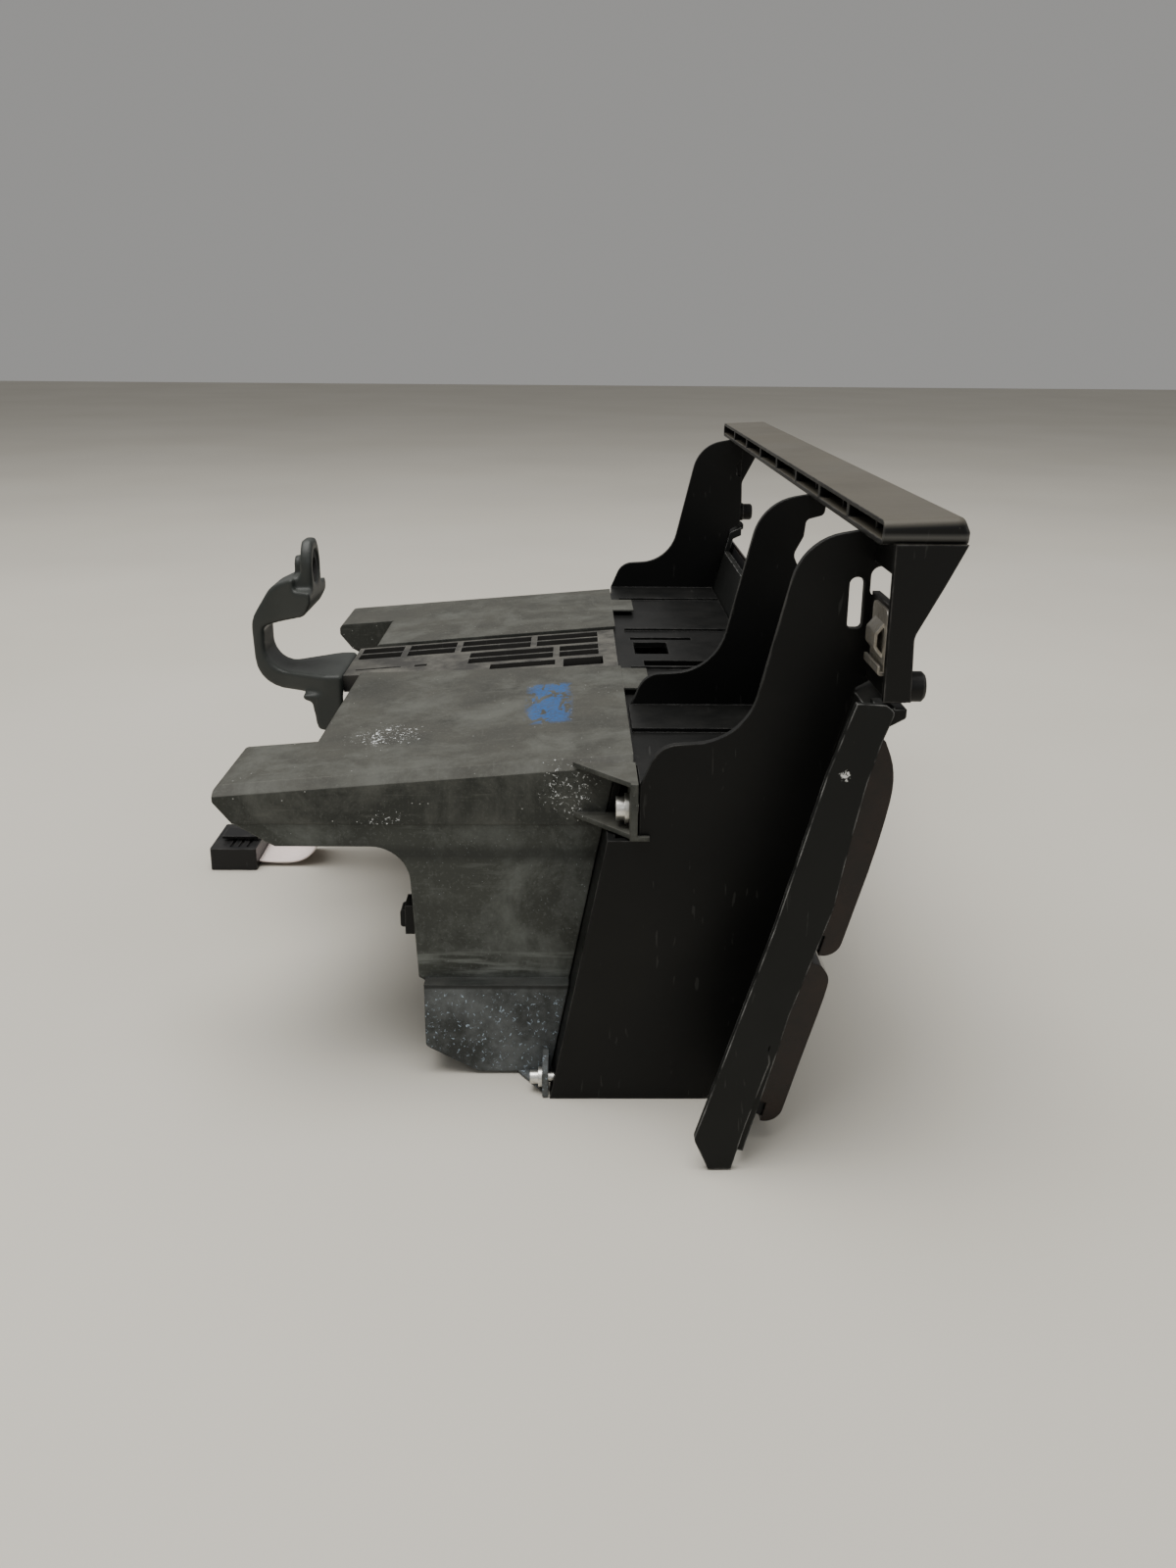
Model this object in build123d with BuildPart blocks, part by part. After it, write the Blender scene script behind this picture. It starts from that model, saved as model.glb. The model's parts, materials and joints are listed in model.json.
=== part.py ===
from build123d import *
import math
import os

# Twin-door dash stowage module. Millimetres, +Z up, -Y is the front (door) side,
# +X runs along the module. Origin: centre of the footprint on the surface it stands on.

os.makedirs("parts", exist_ok=True)

# ---- driving dimensions -------------------------------------------------------------
HALF = 200.0            # half length of the hood and of the fascia
TUB = 170.6             # half length over the end plates
WALL = 2.6              # wall of the black mouldings
DECK = 112.0            # top of the deck that closes the tub
HOOD_LOW = 191.4        # underside of the hood
INNER_X = -81.0         # outer face of the inner S plate
SHELL = 150.0           # half length of the grey rear shells
SHELL_WALL = 2.2
SHELL_TOP = 112.05      # top of the rear covers at Y = 0
SHELL_FALL = 0.083      # their fall towards the rear, per mm of Y
SEAM = 91.2             # height of the joint between rear covers and rear shell
HUMP_IN = 104.4         # inner face of the rearward humps
HUMP_REAR = 103.0       # rear face of the humps
MAIN_REAR = 77.0        # rear face of the covers between the humps
TILT = math.radians(14.3)       # lean of the door panel
PANEL_Y = -67.7         # front face of the panel at Z = 0
PANEL_T = 2.6
PANEL_TOP = 146.5       # length of the panel up its slope
BIN = 146.0             # half length of the bins
BIN_WALL = 2.0
DOOR_HALF = 194.0       # half length of the doors
DOOR_T = 11.4           # thickness at the hinge edge
DOOR_GAP = 0.8          # door back to panel front
VENEER = 1.2
DOOR_AXIS_N = DOOR_GAP + DOOR_T / 2
UPPER_AXIS_V = 74.83    # hinge axes, measured up the panel slope
LOWER_AXIS_V = 14.25
UPPER_TOP_V = 140.4     # upper edges of the doors
LOWER_TOP_V = 66.3
EAR_X = 176.0           # hinge ears of the panel
EAR_W = 5.8
EAR_R = 3.4
PIN_R = 1.5
PIN_PLAY = 0.05         # radial running clearance of every pin and shaft
GEAR_M = 1.0            # module of the damper gears
SECTOR_TEETH = 44
PINION_TEETH = 12
OPENING = 75.0          # opening angle of both doors, degrees
GEAR_X = 160.5          # mid plane of the damper gears
GEAR_W = 3.0
PINION_BEARING = 38.3   # direction of the pinion, degrees from the door's own plane
LATCH_X = 158.0
LATCH_RISE = 22.0       # latches above the hinge axes
BEAM_EDGE = 50.0        # far side of the support beam
CABLE_X = 46.0
CABLE_W = 24.0
CABLE_T = 1.2

COS = math.cos(TILT)
SIN = math.sin(TILT)


# ---- helpers ------------------------------------------------------------------------
def finish(piece, name):
    """Label a finished piece and write its STEP file."""
    piece.part.label = name
    export_step(piece.part, f"parts/{name}.step")


def on_panel(v, n):
    """Side-view point (y, z) at v up the panel slope and n in front of its face."""
    return (PANEL_Y - v * SIN - n * COS, v * COS - n * SIN)


def face_at(corners, plane):
    """Closed face on a plane; a corner is (u, v) or (u, v, fillet radius)."""
    with BuildSketch(plane) as sketch:
        with BuildLine():
            FilletPolyline(
                *[corner[:2] for corner in corners],
                radius=[corner[2] if len(corner) > 2 else 0 for corner in corners],
                close=True,
            )
        make_face()
    return sketch.sketch


def slab(corners, x_from, x_to, mode=Mode.ADD):
    """Side outline (y, z) carried from x_from to x_to."""
    extrude(face_at(corners, Plane.YZ.offset(x_from)), amount=x_to - x_from, mode=mode)


def plate(corners, z_from, z_to, mode=Mode.ADD):
    """Plan outline (x, y) carried from z_from to z_to."""
    extrude(face_at(corners, Plane.XY.offset(z_from)), amount=z_to - z_from, mode=mode)


def panel_slab(corners, x_from, x_to, mode=Mode.ADD):
    """Outline given as (v, n) on the panel, carried from x_from to x_to."""
    slab([on_panel(c[0], c[1]) + tuple(c[2:]) for c in corners], x_from, x_to, mode)


def block(x, y, z, mode=Mode.ADD):
    """Box between two limits on each axis."""
    slab([(y[0], z[0]), (y[1], z[0]), (y[1], z[1]), (y[0], z[1])], x[0], x[1], mode)


def panel_block(x, v, n, mode=Mode.ADD):
    """Box between limits along X, up the panel and out of it."""
    panel_slab([(v[0], n[0]), (v[1], n[0]), (v[1], n[1]), (v[0], n[1])], x[0], x[1], mode)


def panel_rod(x, v, n, radius, mode=Mode.ADD):
    """Round bar along the panel's normal at x, v, from n[0] to n[1]."""
    y, z = on_panel(v, n[0])
    plane = Plane(origin=(x, y, z), x_dir=(1, 0, 0), z_dir=(0, -COS, -SIN))
    with BuildSketch(plane) as disc:
        Circle(radius)
    extrude(disc.sketch, amount=n[1] - n[0], mode=mode)


def rod_x(y, z, radius, x_from, x_to, mode=Mode.ADD):
    """Round bar along X."""
    with BuildSketch(Plane.YZ.offset(x_from)) as disc:
        with Locations((y, z)):
            Circle(radius)
    extrude(disc.sketch, amount=x_to - x_from, mode=mode)


def rod_y(x, z, radius, y_from, y_to, mode=Mode.ADD):
    """Round bar along Y."""
    plane = Plane(origin=(x, y_from, z), x_dir=(1, 0, 0), z_dir=(0, 1, 0))
    with BuildSketch(plane) as disc:
        Circle(radius)
    extrude(disc.sketch, amount=y_to - y_from, mode=mode)


def both_sides(left, right):
    """Order a pair of X limits for the -X side and mirror it for the +X side."""
    return ((left, right), (-right, -left))


# ---- carrier: end plates, inner plate, floor, deck and rear wall --------------------
UPPER_SCREW = (162.0, 101.5)    # (x, z) of the cover screws, mirrored
LOWER_SCREW = (165.0, 4.9)
REAR_LOW = (-8.2, 0.0)
REAR_HIGH = (-30.0, 111.5)
S_CURVE = [(-36.6, 111.7), (-42.4, 125.1, 9), (-68.6, 126.6, 20), (-83.2, 188.6, 18)]
HOOD_REAR = -99.4
PLATE_FRONT = -106.6


def rear_line(z, inset=0.0):
    """Y of the sloping rear wall at height z."""
    slope = (REAR_HIGH[0] - REAR_LOW[0]) / (REAR_HIGH[1] - REAR_LOW[1])
    return REAR_LOW[0] + slope * z - inset


FLANGE_LOW = 94.2       # foot of the covers' screw flanges
NOTCH_Y = -36.6         # the carrier is notched back to here for them
END_PLATE = [
    REAR_LOW, (rear_line(FLANGE_LOW - 0.6), FLANGE_LOW - 0.6), (NOTCH_Y, FLANGE_LOW - 0.6),
    (NOTCH_Y, 111.7), *S_CURVE[1:], (HOOD_REAR, HOOD_LOW),
    (PLATE_FRONT, HOOD_LOW), (PLATE_FRONT, 147.0),
    on_panel(148.0, -PANEL_T - 0.2), on_panel(3.0, -PANEL_T - 0.2), (-60.0, 0.0, 3),
]
INNER_PLATE = [
    (NOTCH_Y, DECK - 0.5), *S_CURVE[1:], (HOOD_REAR, HOOD_LOW), (-106.5, HOOD_LOW), (-105.5, 184.3, 2),
    (-99.2, 182.6, 2), (-98.6, 176.6, 3), (-95.2, 170.0, 3.5), (-98.0, 164.0, 4), (-101.0, 148.0, 4),
    (-95.0, 140.0, 4), (-92.6, DECK - 0.5),
]

with BuildPart() as carrier:
    for x_from, x_to in both_sides(-TUB, -TUB + WALL):
        slab(END_PLATE, x_from, x_to)
        slab([(-103.7, 172.0, 2), (-103.7, 181.0, 3), (-107.0, 181.0), (-107.0, 172.0)],
             x_from, x_to, Mode.SUBTRACT)
    # long window of the near end plate
    slab([(-97.5, 162.4, 1.5), (-97.5, 177.8, 2.2), (-102.0, 177.8, 2.2), (-102.0, 162.4, 1.5)],
         -TUB, -TUB + WALL, Mode.SUBTRACT)
    inside = (-TUB + WALL, TUB - WALL)
    slab(INNER_PLATE, INNER_X, INNER_X + WALL)
    block(inside, (-62.0, rear_line(0) - 0.2), (0.0, WALL))
    block(inside, (-92.6, rear_line(DECK) - 0.2), (DECK - WALL, DECK))
    slab([REAR_LOW, REAR_HIGH, (rear_line(111.5, WALL), 111.5), (rear_line(0, WALL), 0)], *inside)
    for low, high in ((9.0, 61.0), (67.0, 106.0)):
        block((-BIN - 1.0, BIN + 1.0), (-60.0, 0.0), (low, high), Mode.SUBTRACT)
    # ribs under the S plates' feet and the raised step of the narrow bay
    block((-112.0, INNER_X), (-92.0, -36.5), (DECK - 0.2, DECK + 1.6))
    for rib_x in (-20.0, 55.0, 130.0):
        block((rib_x, rib_x + 1.6), (-92.0, -40.0), (DECK - 0.2, DECK + 1.2))
    # slots through the deck of the wide bay
    for slot in (((8.0, 31.0), (-58.0, -43.0)), ((-14.0, -4.0), (-72.0, -46.0)), ((36.0, 41.0), (-70.0, -42.0))):
        block(slot[0], slot[1], (DECK - 3.0, DECK + 3.0), Mode.SUBTRACT)
    # notches, bosses and holes for the four cover screws
    for x_from, x_to in both_sides(-TUB - 1.0, -SHELL + 0.6):
        block((x_from, x_to), (NOTCH_Y, 0.0), (FLANGE_LOW - 0.6, 125.0), Mode.SUBTRACT)
    for x_from, x_to in both_sides(-TUB + 1.0, -156.5):
        block((x_from, x_to), (-48.0, NOTCH_Y), (96.0, 107.0))
        block((x_from, x_to), (-20.0, rear_line(11.0) - 0.2), (0.0, 11.0))
    for sign in (-1, 1):
        rod_y(sign * UPPER_SCREW[0], UPPER_SCREW[1], 1.7, -60.0, 0.0, Mode.SUBTRACT)
        rod_y(sign * LOWER_SCREW[0], LOWER_SCREW[1], 1.7, -60.0, 0.0, Mode.SUBTRACT)
finish(carrier, "carrier")

# ---- hood beam with cheeks, front webs and locating pegs ----------------------------
HOOD_NOSE = -123.8
PEG_X = 193.2
PEG_Z = 150.4
PEG_R = 4.4
PEG_SEAT = -110.9       # front face of the pegs' collars
HOOD_OUTLINE = [
    (-99.6, 198.2), (-121.8, 199.2, 2.2), (HOOD_NOSE, 195.0, 1.5), (HOOD_NOSE + 0.2, HOOD_LOW, 1),
    (HOOD_REAR, HOOD_LOW),
]
MAJOR_RIB = 50.0
CHEEK = [
    (-103.2, HOOD_LOW + 0.4), (HOOD_NOSE + 0.6, HOOD_LOW + 0.4), (-117.5, 180.0), (-110.4, 166.2, 6),
    (-111.0, 147.4), (-103.2, 147.4),
]
with BuildPart() as hood_beam:
    slab(HOOD_OUTLINE, -HALF, HALF)
    fillet(hood_beam.edges().filter_by(Axis.Z, tolerance=12).group_by(Axis.Y)[0], radius=3.0)
    bays = int(2 * HALF / MAJOR_RIB)
    for index in range(bays):
        low = -HALF + index * MAJOR_RIB + 1.3
        high = low + MAJOR_RIB - 2.6
        middle = (low + high) / 2
        block((low, high), (-103.0, -90.0), (HOOD_LOW + 1.5, 196.9), Mode.SUBTRACT)
        for x_from, x_to in ((low, middle - 0.6), (middle + 0.6, high)):
            block((x_from, x_to), (-121.0, -90.0), (HOOD_LOW + 1.5, 196.9), Mode.SUBTRACT)
    for x_from, x_to in both_sides(-HALF, -HALF + 2.6):
        slab(CHEEK, x_from, x_to)
    for x_from, x_to in both_sides(-HALF + 2.4, -TUB - 0.1):
        block((x_from, x_to), (-106.6, -104.4), (147.4, HOOD_LOW + 0.4))
        block((x_from + 0.2, x_to), (-108.0, -103.0), (173.8, 182.6), Mode.SUBTRACT)
    for sign in (-1, 1):
        rod_y(sign * PEG_X, PEG_Z, PEG_R + 0.4, PEG_SEAT, -105.0)
        rod_y(sign * PEG_X, PEG_Z, PEG_R, PEG_SEAT - 5.1, PEG_SEAT)
    chamfer(hood_beam.edges().filter_by(GeomType.CIRCLE).group_by(Axis.Y)[0], length=0.8)
finish(hood_beam, "hood_beam")

# ---- door frame: sloping panel, side strips and top rail ----------------------------
STRIP_LEAN = 11.0       # how far the strips' feet stand out beyond the hood ends
STRIP_TOP = 147.0
STRIP = [
    (-95.9, 147.0), (-104.3, 146.6, 1), (-107.0, 144.6, 2), (-103.6, 135.6), (-100.1, 123.7),
    (-96.3, 106.1), (-92.3, 85.0), (-79.5, 47.6), (-75.0, 41.1, 2), (-75.6, 36.1, 2),
    (-68.9, 14.7), (-65.0, 0.4), (-57.9, 0.4), (-53.3, 10.4, 3), (-75.2, 78.7), (-88.7, 126.6),
]
APERTURES = ((10.0, 60.5), (70.5, 104.6))
SWITCH_X, SWITCH_V = -155.0, 121.5


def axis_of(axis_v):
    """Side-view position of a hinge axis."""
    return on_panel(axis_v, DOOR_AXIS_N)


with BuildPart() as door_frame:
    panel_block((-HALF - 8.0, HALF + 8.0), (5.0, PANEL_TOP), (-PANEL_T, 0.0))
    for sign in (-1, 1):
        # each strip leans out towards its foot and bounds the panel
        lean = math.atan2(STRIP_LEAN, STRIP_TOP)
        outward = (sign * math.cos(lean), 0, math.sin(lean))
        strip_plane = Plane(origin=(sign * HALF, 0, STRIP_TOP), x_dir=(0, 1, 0), z_dir=outward)
        up = 1 if strip_plane.y_dir.Z > 0 else -1
        split(bisect_by=strip_plane, keep=Keep.BOTTOM)
        scaled = [(c[0], up * (c[1] - STRIP_TOP) / math.cos(lean), *c[2:]) for c in STRIP]
        extrude(face_at(scaled, strip_plane), amount=-WALL)
    for low, high in APERTURES:
        panel_block((-BIN - 0.5, BIN + 0.5), (low, high), (-9.0, 9.0), Mode.SUBTRACT)
    # top rail: lip over the upper door and the wall down to the deck
    slab([on_panel(PANEL_TOP, -PANEL_T), (-107.4, 145.2), (-107.4, 141.0), on_panel(143.5, 0.0),
          on_panel(143.5, -PANEL_T)], -HALF + 2.7, HALF - 2.7)
    # the rail dips across the wide bay
    block((INNER_X + 4.0, TUB - 4.0), (-112.0, -92.0), (132.0, 150.0), Mode.SUBTRACT)
    for x_from, x_to in both_sides(-HALF + 2.7, -HALF + 15.0):
        slab([(-103.0, 144.6), (-110.8, 144.6), (-110.8, 142.0, 1), (-106.4, 139.6), (-103.0, 139.6)], x_from, x_to)
    for axis_v in (UPPER_AXIS_V, LOWER_AXIS_V):
        y, z = axis_of(axis_v)
        for ear_x in (-EAR_X, EAR_X):
            sides = (ear_x - EAR_W / 2, ear_x + EAR_W / 2)
            panel_block(sides, (axis_v - 2.6, axis_v + 2.6), (-1.0, DOOR_AXIS_N))
            rod_x(y, z, EAR_R, *sides)
            rod_x(y, z, PIN_R + PIN_PLAY, sides[0] - 1, sides[1] + 1, Mode.SUBTRACT)
        # slot for the damper sector and hole for the latch striker
        panel_block((-GEAR_X - 3.2, -GEAR_X + 3.2), (axis_v - 7.0, axis_v + 28.0), (-9, 9), Mode.SUBTRACT)
        latch_v = axis_v + LATCH_RISE
        panel_block((LATCH_X - 4.0, LATCH_X + 4.0), (latch_v - 4.0, latch_v + 6.0), (-9, 9), Mode.SUBTRACT)
    panel_rod(SWITCH_X, SWITCH_V, (-9.0, 9.0), 2.6, Mode.SUBTRACT)
finish(door_frame, "door_frame")


# ---- bins ---------------------------------------------------------------------------
def panel_back(z):
    """Y of the panel's back face at height z."""
    return PANEL_Y - z * SIN / COS + PANEL_T / COS


def bin_liner(floor, roof, back):
    """Open-fronted box whose mouth lies against the back of the panel."""
    outer = [(panel_back(floor), floor), (back, floor, 6), (back, roof, 6), (panel_back(roof), roof)]
    inner = [
        (panel_back(floor) - 6.0, floor + BIN_WALL), (back - BIN_WALL, floor + BIN_WALL, 4.5),
        (back - BIN_WALL, roof - BIN_WALL, 4.5), (panel_back(roof) - 6.0, roof - BIN_WALL),
    ]
    slab(outer, -BIN, BIN)
    slab(inner, -BIN + BIN_WALL, BIN - BIN_WALL, Mode.SUBTRACT)


LAMP_X = -40.0
BIN_ROOF = 100.6        # roof of the upper bin, under the support beam
LAMP_Y = (-64.0, -46.0)
with BuildPart() as lower_bin:
    bin_liner(10.0, 58.5, 30.0)
finish(lower_bin, "lower_bin")
with BuildPart() as upper_bin:
    bin_liner(68.5, BIN_ROOF, 30.0)
    block((LAMP_X - 12.0, LAMP_X + 12.0), (LAMP_Y[0] + 2.0, LAMP_Y[1] - 2.0), (BIN_ROOF - 5.0, BIN_ROOF + 5.0),
          Mode.SUBTRACT)
finish(upper_bin, "upper_bin")

# ---- bin lamp and its switch --------------------------------------------------------
with BuildPart() as lamp_housing:
    block((LAMP_X - 14.0, LAMP_X + 14.0), LAMP_Y, (BIN_ROOF, BIN_ROOF + 5.4))
    block((LAMP_X - 12.4, LAMP_X + 12.4), (LAMP_Y[0] + 1.6, LAMP_Y[1] - 1.6), (BIN_ROOF - 1.0, BIN_ROOF + 4.0),
          Mode.SUBTRACT)
finish(lamp_housing, "lamp_housing")
with BuildPart() as lamp_board:
    block((LAMP_X - 12.2, LAMP_X + 12.2), (LAMP_Y[0] + 1.8, LAMP_Y[1] - 1.8), (BIN_ROOF + 2.4, BIN_ROOF + 4.0))
    for led_x in (LAMP_X - 6.0, LAMP_X + 6.0):
        block((led_x - 1.8, led_x + 1.8), (LAMP_Y[0] + 7.2, LAMP_Y[1] - 7.2), (BIN_ROOF + 1.4, BIN_ROOF + 2.4))
finish(lamp_board, "lamp_board")
with BuildPart() as lamp_lens:
    block((LAMP_X - 11.8, LAMP_X + 11.8), (LAMP_Y[0] + 2.2, LAMP_Y[1] - 2.2), (BIN_ROOF - 2.8, BIN_ROOF + 0.8))
    fillet(lamp_lens.edges().filter_by(Axis.Z), radius=2.5)
    chamfer(lamp_lens.faces().sort_by(Axis.Z)[0].edges(), length=0.7)
finish(lamp_lens, "lamp_lens")

with BuildPart() as switch_body:
    panel_block((SWITCH_X - 6.0, SWITCH_X + 6.0), (SWITCH_V - 2.2, SWITCH_V + 9.0), (-16.0, -PANEL_T))
    panel_rod(SWITCH_X, SWITCH_V, (-16.0, -PANEL_T), 4.2)
    panel_rod(SWITCH_X, SWITCH_V, (-13.0, 1.0), 2.0 + PIN_PLAY, Mode.SUBTRACT)
finish(switch_body, "switch_body")
with BuildPart() as switch_plunger:
    panel_rod(SWITCH_X, SWITCH_V, (-9.5, 0.2), 2.0)
finish(switch_plunger, "switch_plunger")


# ---- grey rear covers, rear shell, humps --------------------------------------------
def cover_top(y, drop=0.0):
    """Height of the covers' top at y."""
    return SHELL_TOP - SHELL_FALL * y - drop


COVER_FRONT = -35.4
FLANGE_REAR = -33.6


LIP_LOW = DECK + 0.2     # underside of the covers' lip that laps over the deck's rear edge
WALL_GAP = 0.4          # gap between the carrier's rear wall and what stands behind it


def cover_profile(rear, wall):
    """Side outline of a rear cover, open at the seam; wall shifts it inwards and opens its front."""
    if wall:
        front = [(-60.0, SEAM - wall), (-60.0, LIP_LOW - 0.4), (-28.0, LIP_LOW - 0.4), (-28.0, cover_top(-28.0, wall))]
    else:
        front = [
            (rear_line(SEAM) + WALL_GAP, SEAM), (rear_line(LIP_LOW) + WALL_GAP, LIP_LOW),
            (COVER_FRONT, LIP_LOW), (COVER_FRONT, cover_top(COVER_FRONT)),
        ]
    roof = [(rear - wall, cover_top(rear, wall), 2.5 - wall)]
    if rear > MAIN_REAR:
        roof.append((rear - wall, 98.7 - 0.6 * wall, 1.5))
        return front + roof + [(rear - 6.0 - wall, SEAM - wall)]
    return front + roof + [(rear - wall, SEAM - wall)]


def bevel_edge(outer_x, side):
    """Bevel the long outer edge of a cover's roof, which falls to the rear."""
    fall = math.atan(SHELL_FALL)
    start = COVER_FRONT - 5.0
    plane = Plane(origin=(outer_x, start, cover_top(start)), x_dir=(1, 0, 0),
                  z_dir=(0, math.cos(fall), -math.sin(fall)))
    up = 1 if plane.y_dir.Z > 0 else -1
    wedge = [(-side * 3.6, up * 0.01), (side * 2.0, up * 0.01), (side * 2.0, -up * 3.0), (0, -up * 3.0)]
    extrude(face_at(wedge, plane), amount=HUMP_REAR - start + 10.0, mode=Mode.SUBTRACT)


def rear_cover(side, inner_rear, inner_front, tab, flange_top):
    """One rear cover, side -1 or +1; its inner edge runs from inner_rear to inner_front."""
    outer = side * SHELL
    with BuildPart() as cover:
        slab(cover_profile(MAIN_REAR, 0), *sorted((min(side * inner_rear, side * inner_front) * side, outer)))
        slab(cover_profile(HUMP_REAR, 0), *sorted((side * HUMP_IN, outer)))
        bevel_edge(outer, side)
        skin = outer - side * SHELL_WALL
        slab(cover_profile(MAIN_REAR, SHELL_WALL), *sorted((inner_rear - side * 40, skin)), Mode.SUBTRACT)
        slab(cover_profile(HUMP_REAR, SHELL_WALL), *sorted((side * (HUMP_IN + SHELL_WALL), skin)), Mode.SUBTRACT)
        # tapered inner edge along the support beam
        taper = [(inner_rear, MAIN_REAR + 1), (inner_front, COVER_FRONT - 1),
                 (inner_front - side * 60, COVER_FRONT - 1), (inner_rear - side * 60, MAIN_REAR + 1)]
        plate(taper, 80.0, 130.0, Mode.SUBTRACT)
        # thin tongue that laps onto the deck
        block(tab, (COVER_FRONT - 10.4, COVER_FRONT + 1), (DECK + 1.9, cover_top(COVER_FRONT) - 0.2))
        # screw flange with two gussets, and the hook that grips the end plate
        flange = sorted((outer - side * 0.4, side * (TUB + 1.8)))
        block(flange, (NOTCH_Y + 0.6, FLANGE_REAR), (FLANGE_LOW, flange_top))
        for height in (FLANGE_LOW, flange_top - 1.6):
            gusset = [(outer - side * 0.4, FLANGE_REAR - 0.2), (side * TUB, FLANGE_REAR - 0.2),
                      (outer - side * 0.4, FLANGE_REAR + 18.0)]
            plate(gusset, height, height + 1.6)
        rod_y(side * UPPER_SCREW[0], UPPER_SCREW[1], 2.3, -40.0, -30.0, Mode.SUBTRACT)
        block(sorted((side * (TUB + 0.2), side * (TUB + 1.8))), (-39.8, NOTCH_Y + 0.8), (FLANGE_LOW, 95.6))
    return cover


upper_cover_left = rear_cover(-1, -3.0, -26.0, (-61.0, -29.0), 113.0)
finish(upper_cover_left, "upper_cover_left")
upper_cover_right = rear_cover(1, BEAM_EDGE + 1.0, BEAM_EDGE + 2.0, (91.0, 117.0), 108.6)
finish(upper_cover_right, "upper_cover_right")

SHELL_SIDE = 149.2      # the rear shell stands just inside the covers
FOOT_SIDE = 154.6       # half length of its wider foot
LEDGE = 34.4            # top of the foot
FOOT_REAR = -5.6        # rear face of the lower screw flanges


def shell_profile(rear, wall):
    """Side outline of the rear shell below the seam; wall shifts it inwards and opens top and front."""
    rim = SEAM - 0.1 + 2 * wall
    front = WALL_GAP - 30.0 * (wall > 0)
    return [
        (rear_line(1.0) + front, 1.0 + wall), (17.0 - 0.4 * wall, 1.0 + wall, 2),
        (35.0 - wall, 10.9 + 0.4 * wall, 2), (35.0 - wall, 33.4, 0.6), (37.2 - wall, 34.8, 0.6),
        (39.5 - wall, 83.0 + wall, 13 + wall), (rear - 19.4, 83.0 + wall, 2),
        *([(rear - 6.0 - wall, SEAM + 0.4 * wall)] if wall else []),
        (rear - 6.0 - wall, rim), (rear_line(SEAM) + front, rim),
    ]


def foot_profile(wall):
    """Side outline of the shell's foot; wall shifts it inwards and opens the front."""
    front = WALL_GAP - 30.0 * (wall > 0)
    return [
        (rear_line(1.0) + front, 1.0 + wall), (17.0 - 0.4 * wall, 1.0 + wall, 2),
        (35.0 - wall, 10.9 + 0.4 * wall, 2), (35.0 - wall, LEDGE - wall), (rear_line(LEDGE) + front, LEDGE - wall),
    ]


with BuildPart() as rear_shell:
    slab(shell_profile(MAIN_REAR + 6.0, 0), -SHELL_SIDE, SHELL_SIDE)
    for x_from, x_to in both_sides(-SHELL_SIDE, -HUMP_IN - 0.8):
        slab(shell_profile(HUMP_REAR, 0), x_from, x_to)
    slab(foot_profile(0), -FOOT_SIDE, FOOT_SIDE)
    inner_limits = (-SHELL_SIDE + SHELL_WALL, SHELL_SIDE - SHELL_WALL)
    slab(shell_profile(MAIN_REAR + 6.0, SHELL_WALL), *inner_limits, Mode.SUBTRACT)
    for x_from, x_to in both_sides(-SHELL_SIDE + SHELL_WALL, -HUMP_IN - 0.8 - SHELL_WALL):
        slab(shell_profile(HUMP_REAR, SHELL_WALL), x_from, x_to, Mode.SUBTRACT)
    slab(foot_profile(SHELL_WALL), -FOOT_SIDE + SHELL_WALL, FOOT_SIDE - SHELL_WALL, Mode.SUBTRACT)
    for sign in (-1, 1):
        # foot flanges that take the lower screws
        foot = sorted((sign * (FOOT_SIDE - 0.6), sign * (TUB - 0.4)))
        block(foot, (FOOT_REAR - 2.0, FOOT_REAR), (0.4, 9.4))
        gusset = [(sign * (FOOT_SIDE - 0.6), FOOT_REAR - 0.2), (sign * (TUB - 3.0), FOOT_REAR - 0.2),
                  (sign * (FOOT_SIDE - 0.6), FOOT_REAR + 9.0)]
        plate(gusset, 0.4, 1.2)
        rod_y(sign * LOWER_SCREW[0], LOWER_SCREW[1], 2.2, -20.0, 0.0, Mode.SUBTRACT)
    # slot and flat seat for the cable socket
    block((CABLE_X - 14.0, CABLE_X + 14.0), (30.0, 50.0), (70.6, 77.6), Mode.SUBTRACT)
    block((CABLE_X - 16.0, CABLE_X + 16.0), (39.6, 60.0), (68.8, 79.4), Mode.SUBTRACT)
finish(rear_shell, "rear_shell")

# ---- support beam, hook arm and its sleeve ------------------------------------------
BEAM_REAR = 84.0
BEAM_DEPTH = 8.6        # underside below the covers' top


def beam_edge(y):
    """Near edge of the beam, parallel to the left cover's inner edge."""
    return -2.4 + (y - MAIN_REAR) * 23.0 / (MAIN_REAR - COVER_FRONT)


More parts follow.
